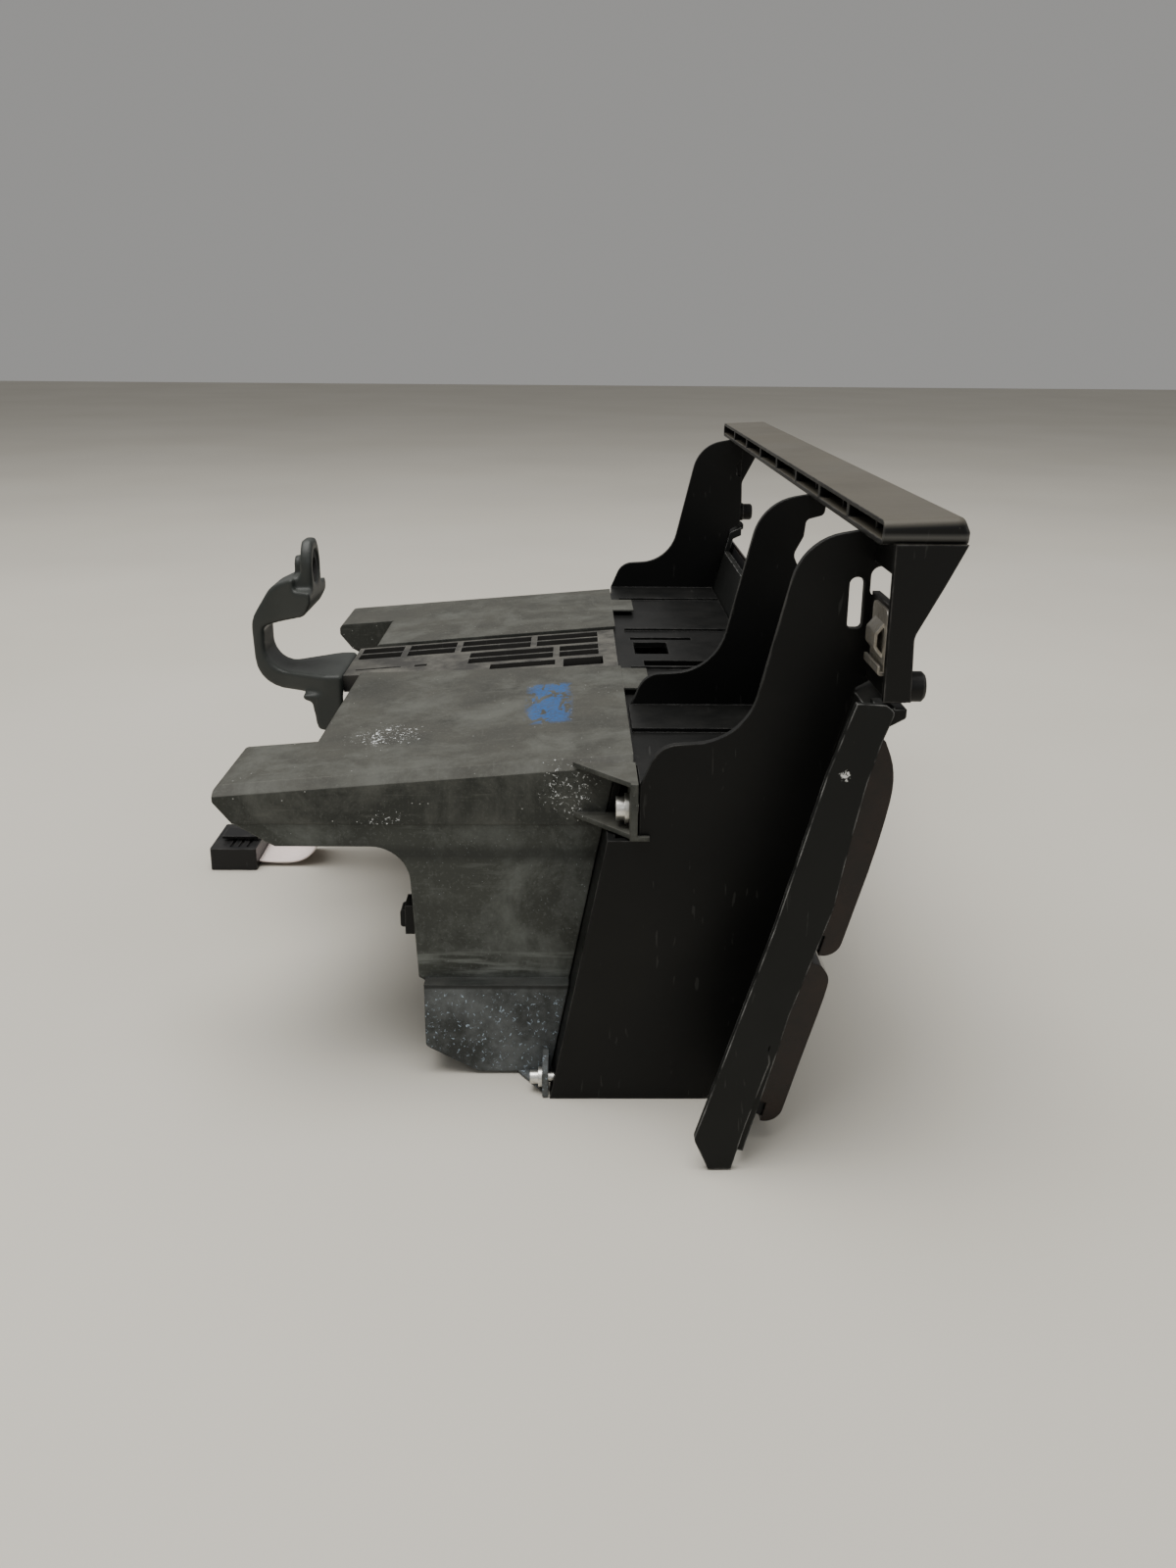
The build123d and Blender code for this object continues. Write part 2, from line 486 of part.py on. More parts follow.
with BuildPart() as support_beam:
    plate([(beam_edge(BEAM_REAR), BEAM_REAR), (beam_edge(-34.6), -34.6), (BEAM_EDGE, -34.6),
           (BEAM_EDGE, BEAM_REAR)], 90.0, 122.0)
    # top and underside follow the covers' fall; the front end lies on the deck's rear edge
    slab([(-60.0, cover_top(-60.0, 1.2)), (100.0, cover_top(100.0, 1.2)), (100.0, 140.0), (-60.0, 140.0)],
         -60, 70, Mode.SUBTRACT)
    slab([(-60.0, cover_top(-60.0, BEAM_DEPTH)), (100.0, cover_top(100.0, BEAM_DEPTH)), (100.0, 60.0),
          (-60.0, 60.0)], -60, 70, Mode.SUBTRACT)
    block((-60, 70), (-60.0, rear_line(DECK - BEAM_DEPTH) + WALL_GAP), (60.0, LIP_LOW), Mode.SUBTRACT)
    # two rows of pockets with cross ribs and a thin mid rib
    far_row = ((27.0, 48.0), (83.0, 61.0, 36.5, 2.0, -28.5))
    near_row = ((3.5, 23.5), (31.5, -8.5, -28.5))
    for (x_low, x_high), stations in (far_row, near_row):
        half = (x_low + x_high) / 2
        for rear, front in zip(stations, stations[1:]):
            for x_from, x_to in ((x_low, half - 0.7), (half + 0.7, x_high)):
                floor = cover_top((rear + front) / 2, BEAM_DEPTH - 1.8)
                block((x_from, x_to), (front + 1.6, rear - 1.2), (floor, 125.0), Mode.SUBTRACT)
    for x_from, rear, front in ((-10.0, 20.0, -8.0), (-15.0, -11.5, -28.5)):
        block((x_from, -1.0), (front, rear), (cover_top(0, BEAM_DEPTH - 2.2), 125.0), Mode.SUBTRACT)
    # narrow slot and small hole of the flat rear web
    block((6.3, 8.3), (60.0, 80.0), (cover_top(70, 5.0), 125.0), Mode.SUBTRACT)
    block((5.5, 9.0), (48.5, 54.0), (cover_top(50, 5.0), 125.0), Mode.SUBTRACT)
finish(support_beam, "support_beam")

ARM_X = (5.0, 27.0)
ROOT_X = (-5.0, 41.0)
ROOT_Y = BEAM_REAR + 0.1
EYE_X = 16.0
EYE_Z = 147.5
EYE_FRONT = 96.2
COUNTERBORE_R = 6.8
BOLT_R = 3.2
ARM = [
    (ROOT_Y, 104.8), (118.9, 103.9, 11), (118.7, 123.8, 3), (99.2, 129.4, 5), (EYE_FRONT, 135.5, 3),
    (EYE_FRONT, 160.5, 1.5), (101.2, 160.5, 1.5), (101.2, 146.0, 1), (105.0, 145.2), (114.8, 141.0, 9),
    (124.0, 126.5, 14), (122.6, 96.4, 14), (ROOT_Y, 95.8),
]
with BuildPart() as support_hook:
    slab(ARM, *ROOT_X)
    # plan shape: a wide root that draws in to the arm
    for sign, edge in ((-1, ARM_X[0]), (1, ARM_X[1])):
        root = ROOT_X[0] if sign < 0 else ROOT_X[1]
        plate([(root, ROOT_Y - 5.0), (root, 92.0, 6), (edge, 112.0, 12), (edge, 140.0),
               (edge + sign * 30.0, 140.0), (edge + sign * 30.0, ROOT_Y - 5.0)], 60.0, 170.0, Mode.SUBTRACT)
    # oval eye: everything above the arm's shoulder outside the oval goes
    eye_plane = Plane(origin=(0, 90.0, 0), x_dir=(1, 0, 0), z_dir=(0, -1, 0))
    with BuildSketch(eye_plane) as outside_eye:
        with Locations((EYE_X, 155.0)):
            Rectangle(64.0, 30.0)
        with Locations((EYE_X, EYE_Z)):
            Ellipse(11.0, 14.2, mode=Mode.SUBTRACT)
        with Locations((EYE_X, 142.0)):
            Rectangle(22.0, 9.0, mode=Mode.SUBTRACT)
    extrude(outside_eye.sketch, amount=-14.0, mode=Mode.SUBTRACT)
    rod_y(EYE_X, EYE_Z + 1.0, 4.8, 100.0, 105.2)
    rod_y(EYE_X, EYE_Z + 1.0, COUNTERBORE_R, 90.0, EYE_FRONT + 3.6, Mode.SUBTRACT)
    rod_y(EYE_X, EYE_Z + 1.0, BOLT_R, 90.0, 125.0, Mode.SUBTRACT)
    # stiffening plate under the root
    slab([(ROOT_Y, 96.2), (101.5, 96.2), (101.5, 94.0, 1), (97.5, 92.6, 1), (95.5, 80.0, 2.5),
          (88.0, 80.0, 2.5), (ROOT_Y, 90.0)], ROOT_X[0], ROOT_X[0] + 4.0)
finish(support_hook, "support_hook")

with BuildPart() as eye_grommet:
    rod_y(EYE_X, EYE_Z + 1.0, COUNTERBORE_R, EYE_FRONT + 0.8, EYE_FRONT + 3.6)
    rod_y(EYE_X, EYE_Z + 1.0, BOLT_R + 0.6, EYE_FRONT - 1.0, EYE_FRONT + 5.0, Mode.SUBTRACT)
finish(eye_grommet, "eye_grommet")


# ---- screws -------------------------------------------------------------------------
def hex_flange_screw(x, z, seat, head_r, length):
    """Screw along Y, head towards +Y, with a cross recess; seat is the Y under the head."""
    rod_y(x, z, head_r, seat, seat + 1.4)
    rod_y(x, z, head_r - 1.1, seat + 1.4, seat + 4.2)
    rod_y(x, z, 1.65, seat - length, seat)
    for wide, tall in ((3.6, 0.9), (0.9, 3.6)):
        block((x - wide / 2, x + wide / 2), (seat + 2.6, seat + 5.0), (z - tall / 2, z + tall / 2), Mode.SUBTRACT)


with BuildPart() as upper_screws:
    for sign in (-1, 1):
        hex_flange_screw(sign * UPPER_SCREW[0], UPPER_SCREW[1], FLANGE_REAR, 5.0, 10.0)
finish(upper_screws, "upper_screws")
with BuildPart() as lower_screws:
    for sign in (-1, 1):
        hex_flange_screw(sign * LOWER_SCREW[0], LOWER_SCREW[1], FOOT_REAR, 3.4, 8.0)
finish(lower_screws, "lower_screws")


# ---- clips and stops ----------------------------------------------------------------
def spring_clip(side):
    """Bowed steel clip on the rear face of a hood web, between end plate and cheek."""
    sides = sorted((side * (TUB + 6.0), side * (HALF - 5.0)))
    tongue = sorted((side * (TUB + 9.4), side * (HALF - 8.4)))
    with BuildPart() as clip:
        slab([(-104.35, 155.0), (-103.6, 155.0), (-103.6, 172.6), (-104.35, 172.6)], *sides)
        slab([(-103.8, 158.0), (-101.2, 161.2, 1.5), (-101.2, 165.4, 1.5), (-103.8, 168.6), (-103.8, 167.4),
              (-102.0, 165.0, 0.8), (-102.0, 161.6, 0.8), (-103.8, 159.2)], *tongue)
        # rolled lower lip
        slab([(-104.35, 156.4), (-104.35, 153.8, 1.0), (-102.0, 153.8, 1.0), (-102.0, 156.6), (-102.8, 156.6),
              (-102.8, 154.8), (-103.6, 154.8), (-103.6, 156.4)], *sides)
        fillet(clip.edges().filter_by(Axis.Y).group_by(Axis.Z)[-1], radius=2.5)
    return clip


finish(spring_clip(-1), "spring_clip_left")
finish(spring_clip(1), "spring_clip_right")

with BuildPart() as rear_clip:
    block((-145.0, -135.0), (38.6, 41.8), (49.0, 59.6))
    block((-143.4, -136.6), (41.6, 43.6), (51.0, 57.4))
    fillet(rear_clip.edges().filter_by(Axis.X).group_by(Axis.Y)[-1], radius=1.0)
finish(rear_clip, "rear_clip")

with BuildPart() as bump_stops:
    for axis_v, top_v in ((UPPER_AXIS_V, UPPER_TOP_V), (LOWER_AXIS_V, LOWER_TOP_V)):
        for stop_x in (-188.0, 188.0):
            panel_rod(stop_x, top_v - 8.0, (0.0, 0.5), 3.0)
finish(bump_stops, "bump_stops")


# ---- doors --------------------------------------------------------------------------
def door_crown(name):
    """(v, n) of the outer skin from the hinge edge to the top edge."""
    if name == "upper":
        return [(74.83, 12.2), (96.0, 12.5), (118.5, 11.9), (128.0, 10.6), (135.0, 7.6), (139.4, 4.4)]
    return [(14.25, 12.2), (30.0, 12.3), (48.0, 12.6), (58.6, 12.6), (63.4, 11.4), (65.9, 8.6)]


def door_face(name, inset, x):
    """Closed side profile of a door; inset moves it in from the outer skin."""
    axis_v = UPPER_AXIS_V if name == "upper" else LOWER_AXIS_V
    top_v = UPPER_TOP_V if name == "upper" else LOWER_TOP_V
    radius = DOOR_T / 2 - inset
    crown = [on_panel(v - inset * (v > top_v - 8.0), n - inset) for v, n in door_crown(name)]
    with BuildSketch(Plane.YZ.offset(x)) as profile:
        with BuildLine():
            ThreePointArc(
                on_panel(axis_v, DOOR_AXIS_N - radius),
                on_panel(axis_v - radius, DOOR_AXIS_N),
                crown[0],
            )
            Spline(*crown, tangents=[(-SIN, COS), (crown[-1][0] - crown[-2][0], crown[-1][1] - crown[-2][1])])
            Polyline(crown[-1], on_panel(top_v - inset, DOOR_AXIS_N - DOOR_T / 2 + inset),
                     on_panel(axis_v, DOOR_AXIS_N - radius))
        make_face()
    return profile.sketch


def hinge_notches(axis_v):
    """Clear the panel's ears through the door's whole swing."""
    y, z = axis_of(axis_v)
    for ear_x in (-EAR_X, EAR_X):
        sides = (ear_x - 4.2, ear_x + 4.2)
        rod_x(y, z, EAR_R + 0.7, *sides, Mode.SUBTRACT)
        panel_block(sides, (axis_v - 7.0, axis_v + EAR_R + 0.7), (DOOR_AXIS_N - 7.0, DOOR_AXIS_N + EAR_R + 0.3),
                    Mode.SUBTRACT)


def pin_holes(axis_v, radius, mode=Mode.SUBTRACT):
    """Short hinge pins, or their holes, one through each ear."""
    y, z = axis_of(axis_v)
    for ear_x in (-EAR_X, EAR_X):
        rod_x(y, z, radius, ear_x - 12.0, ear_x + 12.0, mode)


def involute(radius, base):
    """Involute angle at a radius, in radians."""
    if radius <= base:
        return 0.0
    alpha = math.acos(base / radius)
    return math.tan(alpha) - alpha


def tooth_flank(teeth, side):
    """Polar points (radius, angle) of one tooth flank, root to tip; side is -1 or +1."""
    pitch_r = GEAR_M * teeth / 2
    base = pitch_r * math.cos(math.radians(20))
    root = pitch_r - GEAR_M
    tip = pitch_r + 0.75 * GEAR_M
    half = math.pi / (2 * teeth) - 0.1 / pitch_r + involute(pitch_r, base)
    start = max(root, base)
    radii = [start + (tip - start) * step / 4 for step in range(5)]
    flank = [(radius, side * (half - involute(radius, base))) for radius in radii]
    if root < base:
        flank.insert(0, (root, side * half))
    return flank


def tooth_outline(teeth, centre, bearing):
    """Outline points of one tooth about a gear centre in the side view."""
    polar = tooth_flank(teeth, -1) + tooth_flank(teeth, 1)[::-1]
    polar.insert(0, (GEAR_M * teeth / 2 - 1.6 * GEAR_M, polar[0][1]))
    polar.append((GEAR_M * teeth / 2 - 1.6 * GEAR_M, polar[-1][1]))
    return [
        (centre[0] + radius * math.cos(bearing + angle), centre[1] + radius * math.sin(bearing + angle))
        for radius, angle in polar
    ]


GEAR_SPAN = (-GEAR_X - GEAR_W / 2, -GEAR_X + GEAR_W / 2)
PANEL_ANGLE = math.pi / 2 + TILT        # direction up the panel slope in the side view
CONTACT = PANEL_ANGLE - math.radians(PINION_BEARING)
CENTRES = GEAR_M * (SECTOR_TEETH + PINION_TEETH) / 2
LUG_ANGLES = (-0.2, PANEL_ANGLE + math.pi)


def pinion_centre(axis_v):
    """Side-view centre of the damper pinion that meshes with a door's sector."""
    y, z = axis_of(axis_v)
    return (y + CENTRES * math.cos(CONTACT), z + CENTRES * math.sin(CONTACT))


def door_sector(axis_v):
    """Toothed sector on the back of a door."""
    centre = axis_of(axis_v)
    root = GEAR_M * SECTOR_TEETH / 2 - GEAR_M
    swing = math.radians(OPENING)
    step = 2 * math.pi / SECTOR_TEETH
    first = CONTACT - swing - math.radians(8)
    last = CONTACT + math.radians(8)
    with BuildPart() as sector:
        rim = [(centre[0] + radius * math.cos(angle), centre[1] + radius * math.sin(angle))
               for radius, angle in ((9.5, first), (root, first), (root, (first + last) / 2), (root, last), (9.5, last))]
        with BuildSketch(Plane.YZ.offset(GEAR_SPAN[0])) as web:
            with BuildLine():
                Line(rim[0], rim[1])
                ThreePointArc(rim[1], rim[2], rim[3])
                Polyline(rim[3], rim[4])
                ThreePointArc(
                    rim[4],
                    (centre[0] + 9.5 * math.cos((first + last) / 2), centre[1] + 9.5 * math.sin((first + last) / 2)),
                    rim[0],
                )
            make_face()
        extrude(web.sketch, amount=GEAR_W)
        tooth_count = int((last - first) / step)
        for index in range(tooth_count):
            bearing = CONTACT + (0.5 - index) * step
            if first + step / 3 < bearing < last - step / 3:
                slab(tooth_outline(SECTOR_TEETH, centre, bearing), *GEAR_SPAN)
        panel_slab([(axis_v - 1.0, DOOR_GAP), (axis_v + 25.0, DOOR_GAP), (axis_v + 25.0, -1.5),
                    (axis_v + 17.5, -5.0), (axis_v + 8.0, -9.0), (axis_v - 1.0, -5.0)], *GEAR_SPAN)
        panel_block((GEAR_SPAN[0] - 1.2, GEAR_SPAN[1] + 1.2), (axis_v - 0.5, axis_v + 25.0), (-0.6, DOOR_GAP))
        panel_block((-170, -150), (axis_v - 30, axis_v + 40), (DOOR_GAP, 20.0), Mode.SUBTRACT)
    return sector


def damper_pinion(axis_v):
    """Pinion with its stub shaft."""
    centre = pinion_centre(axis_v)
    with BuildPart() as pinion:
        rod_x(*centre, GEAR_M * PINION_TEETH / 2 - GEAR_M, *GEAR_SPAN)
        for index in range(PINION_TEETH):
            bearing = CONTACT + math.pi + index * 2 * math.pi / PINION_TEETH
            slab(tooth_outline(PINION_TEETH, centre, bearing), *GEAR_SPAN)
        rod_x(*centre, 3.4, GEAR_SPAN[1] - 0.2, GEAR_SPAN[1] + 0.8)
        rod_x(*centre, PIN_R, GEAR_SPAN[1], GEAR_SPAN[1] + 8.0)
    return pinion


def damper_housing(axis_v):
    """Flat round damper body on the bin's side wall."""
    centre = pinion_centre(axis_v)
    face = GEAR_SPAN[1] + 1.2
    with BuildPart() as housing:
        rod_x(*centre, 7.9, face, -BIN)
        rod_x(*centre, 5.2, face, face + 1.2, Mode.SUBTRACT)
        rod_x(*centre, 4.4, face, face + 1.3)
        rod_x(*centre, PIN_R + PIN_PLAY, face - 1.0, GEAR_SPAN[1] + 8.6, Mode.SUBTRACT)
        for angle in LUG_ANGLES:
            y = centre[0] + 11.0 * math.cos(angle)
            z = centre[1] + 11.0 * math.sin(angle)
            rod_x(y, z, 3.6, -BIN - 2.4, -BIN)
            rod_x(y, z, 1.3, -BIN - 3.0, -BIN + 1.0, Mode.SUBTRACT)
    return housing


def door_set(name, axis_v, top_v):
    """All pieces of one door and of its damper and latch."""
    with BuildPart() as veneer:
        extrude(door_face(name, 0, -DOOR_HALF), amount=2 * DOOR_HALF)
        extrude(door_face(name, VENEER, -DOOR_HALF + VENEER), amount=2 * (DOOR_HALF - VENEER), mode=Mode.SUBTRACT)
        panel_block((-200, 200), (axis_v - 20, top_v + 10), (-3.0, DOOR_GAP + 2.0), Mode.SUBTRACT)
        hinge_notches(axis_v)
        for end_x in (-DOOR_HALF, DOOR_HALF):
            panel_block((end_x - 6, end_x + 6), (axis_v - 6, axis_v + 1.0), (-3.0, DOOR_AXIS_N), Mode.SUBTRACT)
    finish(veneer, f"{name}_door_veneer")

    pocket = [(axis_v + 7.0, -2.0), (axis_v + 7.0, 9.0), (top_v - 22.0, 8.8), (top_v - 13.0, 7.2),
              (top_v - 6.5, 3.6), (top_v - 5.0, -2.0)]
    with BuildPart() as shell:
        extrude(door_face(name, VENEER, -DOOR_HALF + VENEER), amount=2 * (DOOR_HALF - VENEER))
        panel_slab(pocket, -DOOR_HALF + 4.0, DOOR_HALF - 4.0, Mode.SUBTRACT)
        hinge_notches(axis_v)
        pin_holes(axis_v, PIN_R)
    finish(shell, f"{name}_door_shell")

    with BuildPart() as inner:
        panel_block((-DOOR_HALF + 4.1, DOOR_HALF - 4.1), (axis_v + 7.1, top_v - 7.2), (DOOR_GAP + 1.2, DOOR_GAP + 3.0))
        for rib_x in (-140.0, -70.0, 0.0, 70.0, 140.0):
            panel_block((rib_x - 0.8, rib_x + 0.8), (axis_v + 12.0, top_v - 20.0), (DOOR_GAP + 3.0, 8.4))
    finish(inner, f"{name}_door_inner")

    with BuildPart() as pins:
        pin_holes(axis_v, PIN_R, Mode.ADD)
    finish(pins, f"{name}_door_pins")

    finish(door_sector(axis_v), f"{name}_door_sector")

    latch_v = axis_v + LATCH_RISE
    with BuildPart() as striker:
        panel_block((LATCH_X - 3.4, LATCH_X + 3.4), (latch_v - 3.4, latch_v + 3.4), (-0.4, DOOR_GAP + 1.2))
        panel_rod(LATCH_X, latch_v, (-5.0, 0.4), 1.6)
        panel_rod(LATCH_X, latch_v, (-6.2, -4.6), 2.3)
    finish(striker, f"{name}_door_striker")

    finish(damper_pinion(axis_v), f"{name}_pinion")
    finish(damper_housing(axis_v), f"{name}_damper_housing")

    with BuildPart() as latch_body:
        panel_block((LATCH_X - 7.0, LATCH_X + 7.0), (latch_v - 6.4, latch_v + 8.0), (-27.0, -PANEL_T))
        panel_rod(LATCH_X, latch_v, (-25.0, -8.4), 4.0 + PIN_PLAY, Mode.SUBTRACT)
        panel_block((LATCH_X - 4.6, LATCH_X + 4.6), (latch_v - 4.6, latch_v + 6.6), (-8.4, 0.0), Mode.SUBTRACT)
    finish(latch_body, f"{name}_latch_body")
    with BuildPart() as plunger:
        panel_rod(LATCH_X, latch_v, (-14.0, -7.0), 4.0)
        panel_rod(LATCH_X, latch_v, (-18.0, -14.0), 2.0)
        chamfer(plunger.edges().filter_by(GeomType.CIRCLE).group_by(Axis.Y)[0], length=0.5)
    finish(plunger, f"{name}_plunger")
    with BuildPart() as spring:
        with BuildLine() as coil:
            Helix(pitch=1.3, height=6.5, radius=3.0, center=(LATCH_X, *on_panel(latch_v, -24.4)),
                  direction=(0, -COS, -SIN))
        with BuildSketch(Plane(coil.line @ 0, z_dir=coil.line % 0)):
            Circle(0.4)
        sweep(path=coil.line)
    finish(spring, f"{name}_latch_spring")


door_set("upper", UPPER_AXIS_V, UPPER_TOP_V)
door_set("lower", LOWER_AXIS_V, LOWER_TOP_V)

# ---- flat cable, its socket and its connector ---------------------------------------
ROUTE = [
    (41.5, 74.0), (55.0, 74.0), (72.0, 76.0), (88.0, 71.0), (100.0, 60.0), (106.0, 45.0),
    (104.5, 28.0), (105.5, 12.5), (112.5, 3.6), (123.0, 1.4), (135.4, 2.6),
]


def corner_radius(before, corner, after):
    """Largest smooth radius at a corner of the cable's route."""
    run_in = math.dist(before, corner)
    run_out = math.dist(corner, after)
    turn = Vector(corner[0] - before[0], corner[1] - before[1]).get_angle(
        Vector(after[0] - corner[0], after[1] - corner[1]))
    return 0.45 * min(run_in, run_out) / math.tan(math.radians(turn) / 2)


radii = [corner_radius(*ROUTE[index:index + 3]) for index in range(len(ROUTE) - 2)]
print("cable radii", [round(radius, 1) for radius in radii])

with BuildPart() as ribbon_cable:
    with BuildLine(Plane.YZ.offset(CABLE_X)) as route:
        FilletPolyline(*ROUTE, radius=radii)
    with BuildSketch(Plane(route.line @ 0, x_dir=(1, 0, 0), z_dir=route.line % 0)):
        Rectangle(CABLE_W, CABLE_T)
    sweep(path=route.line)
finish(ribbon_cable, "ribbon_cable")
route_length = route.wires()[0].length
print("cable length", round(route_length, 1), "volume", round(ribbon_cable.part.volume, 1),
      "section x length", round(route_length * CABLE_W * CABLE_T, 1))

with BuildPart() as ribbon_socket:
    block((CABLE_X - 13.8, CABLE_X + 13.8), (32.0, 41.5), (70.8, 77.4))
    block((CABLE_X - 15.6, CABLE_X + 15.6), (39.8, 41.4), (69.2, 79.0))
finish(ribbon_socket, "ribbon_socket")

with BuildPart() as connector_housing:
    block((CABLE_X - 17.0, CABLE_X + 17.0), (135.5, 157.5), (0.0, 10.6))
    fillet(connector_housing.edges().filter_by(Axis.Z), radius=1.0)
    for index in range(10):
        x = CABLE_X - 11.4 + index * 2.54
        block((x - 0.8, x + 0.8), (150.0, 160.0), (2.2, 3.8), Mode.SUBTRACT)
        block((x - 0.8, x + 0.8), (150.0, 160.0), (6.2, 7.8), Mode.SUBTRACT)
    for y in (139.0, 143.0, 147.0):
        block((CABLE_X - 14.0, CABLE_X + 14.0), (y, y + 1.6), (9.6, 12.0), Mode.SUBTRACT)
finish(connector_housing, "connector_housing")
with BuildPart() as connector_latch:
    block((CABLE_X - 6.0, CABLE_X + 6.0), (136.5, 138.5), (10.6, 12.2))
    block((CABLE_X - 6.0, CABLE_X + 6.0), (136.5, 154.0), (11.8, 13.0))
    fillet(connector_latch.edges().filter_by(Axis.X).group_by(Axis.Y)[-1], radius=0.5)
finish(connector_latch, "connector_latch")
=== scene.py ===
import json
import math

import bmesh
import bpy
from mathutils import Matrix, Vector


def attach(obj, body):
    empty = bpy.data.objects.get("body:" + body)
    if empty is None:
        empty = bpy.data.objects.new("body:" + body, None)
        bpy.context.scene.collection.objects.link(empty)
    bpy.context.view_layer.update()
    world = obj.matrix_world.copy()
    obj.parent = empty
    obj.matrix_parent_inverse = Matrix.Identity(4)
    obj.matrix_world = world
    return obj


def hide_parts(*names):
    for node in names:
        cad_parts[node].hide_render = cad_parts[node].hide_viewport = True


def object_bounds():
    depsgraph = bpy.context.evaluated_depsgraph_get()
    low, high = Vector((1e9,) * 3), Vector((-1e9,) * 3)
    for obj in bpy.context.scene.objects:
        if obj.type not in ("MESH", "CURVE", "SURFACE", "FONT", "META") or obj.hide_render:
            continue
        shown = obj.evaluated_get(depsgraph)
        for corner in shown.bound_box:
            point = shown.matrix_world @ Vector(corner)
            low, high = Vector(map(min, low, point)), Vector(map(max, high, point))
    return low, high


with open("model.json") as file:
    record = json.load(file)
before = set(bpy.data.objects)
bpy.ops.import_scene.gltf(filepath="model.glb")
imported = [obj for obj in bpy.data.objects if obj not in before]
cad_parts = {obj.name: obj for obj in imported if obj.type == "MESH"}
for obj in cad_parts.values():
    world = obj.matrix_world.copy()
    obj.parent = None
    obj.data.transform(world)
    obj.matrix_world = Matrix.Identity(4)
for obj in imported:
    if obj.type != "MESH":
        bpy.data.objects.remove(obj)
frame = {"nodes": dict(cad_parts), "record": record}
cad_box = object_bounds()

# Looks of the twin-door dash stowage module. Metres, +Z up, -Y is the door side.
# A CAD node's object coordinates are the row frame, so a texture's place is a place on the part.

MM = 0.001
LOOKS = {}              # the materials made here; the CAD nodes come with plain ones of the same slot names
HOOK_VOXEL = 0.0008     # the hook is remeshed at this size, then smoothed
EXTRA_SPECKS = 0.035    # share of cells that a full cover mask adds to the specks

# Rear covers and support beam. The covers' top falls towards the back.
COVER_TOP = 0.11205     # height of that top at y = 0
COVER_FALL = 0.083      # fall per unit of y
POCKET_SHADE_START = 0.0025     # depth below the top where the painted shade in the beam's pockets begins
POCKET_SHADE_FULL = 0.0065    # depth where that painted shade is full
INK_X = (-0.104, -0.046)
INK_Y = (-0.016, 0.003)
INK_Z = (0.108, 0.110)  # the ink comes in over this height, so it stays on the top

# Heights and ends, in metres, where a moulding's look changes
HOOD_DUST_SHEEN_Z = (0.178, 0.184)
HOOD_HIGHLIGHT_Z = (0.1925, 0.1950)
HOOD_END_X = (-0.196, -0.199)
SEAM_SHADOW_Z = (0.0765, 0.0845)
SCUFF_Z = (0.034, 0.046)
LEDGE_LINE_Z = (0.0325, 0.0350)
FOOT_Z = (0.033, 0.0345)
CHIPPED_Z = (0.031, 0.036)

# Clusters of chips: x, y, z and reach
STRIP_NICKS = ((-0.2015, -0.0934, 0.1259, 0.0035), (-0.202, -0.105, 0.1154, 0.0035))
COVER_CHIPS = (
    (-0.104, 0.050, 0.106, 0.034), (-0.150, -0.014, 0.103, 0.024), (-0.149, 0.046, 0.086, 0.026),
)


# ---- camera, floor and light --------------------------------------------------------
CAMERA_AT = Vector((-0.5603, -0.015, 0.2463))
PITCH = math.radians(18.924)
YAW = math.radians(0.7786)
ROLL = math.radians(0.4668)
LENS = 30.375


def make_camera():
    """Camera off the -X end, looking along +X and down."""
    forward = Vector((
        math.cos(PITCH) * math.cos(YAW), -math.cos(PITCH) * math.sin(YAW), -math.sin(PITCH)))
    level = Vector((-math.sin(YAW), -math.cos(YAW), 0.0))
    upward = level.cross(forward)
    right = level * math.cos(ROLL) + upward * math.sin(ROLL)
    upward = upward * math.cos(ROLL) - level * math.sin(ROLL)
    data = bpy.data.cameras.new("photo_camera")
    data.lens = LENS
    data.clip_start = 0.01
    camera = bpy.data.objects.new("photo_camera", data)
    bpy.context.collection.objects.link(camera)
    turn = Matrix((right, upward, -forward)).transposed()
    camera.matrix_world = Matrix.Translation(CAMERA_AT) @ turn.to_4x4()
    bpy.context.scene.camera = camera


def area_light(name, place, aim, size, watts, tint):
    """Square area light at a place, turned to an aim point."""
    data = bpy.data.lights.new(name, "AREA")
    data.shape = "SQUARE"
    data.size = size
    data.energy = watts
    data.color = tint
    light = bpy.data.objects.new(name, data)
    bpy.context.collection.objects.link(light)
    light.location = place
    light.rotation_mode = "QUATERNION"
    light.rotation_quaternion = (Vector(aim) - Vector(place)).to_track_quat("-Z", "Y")


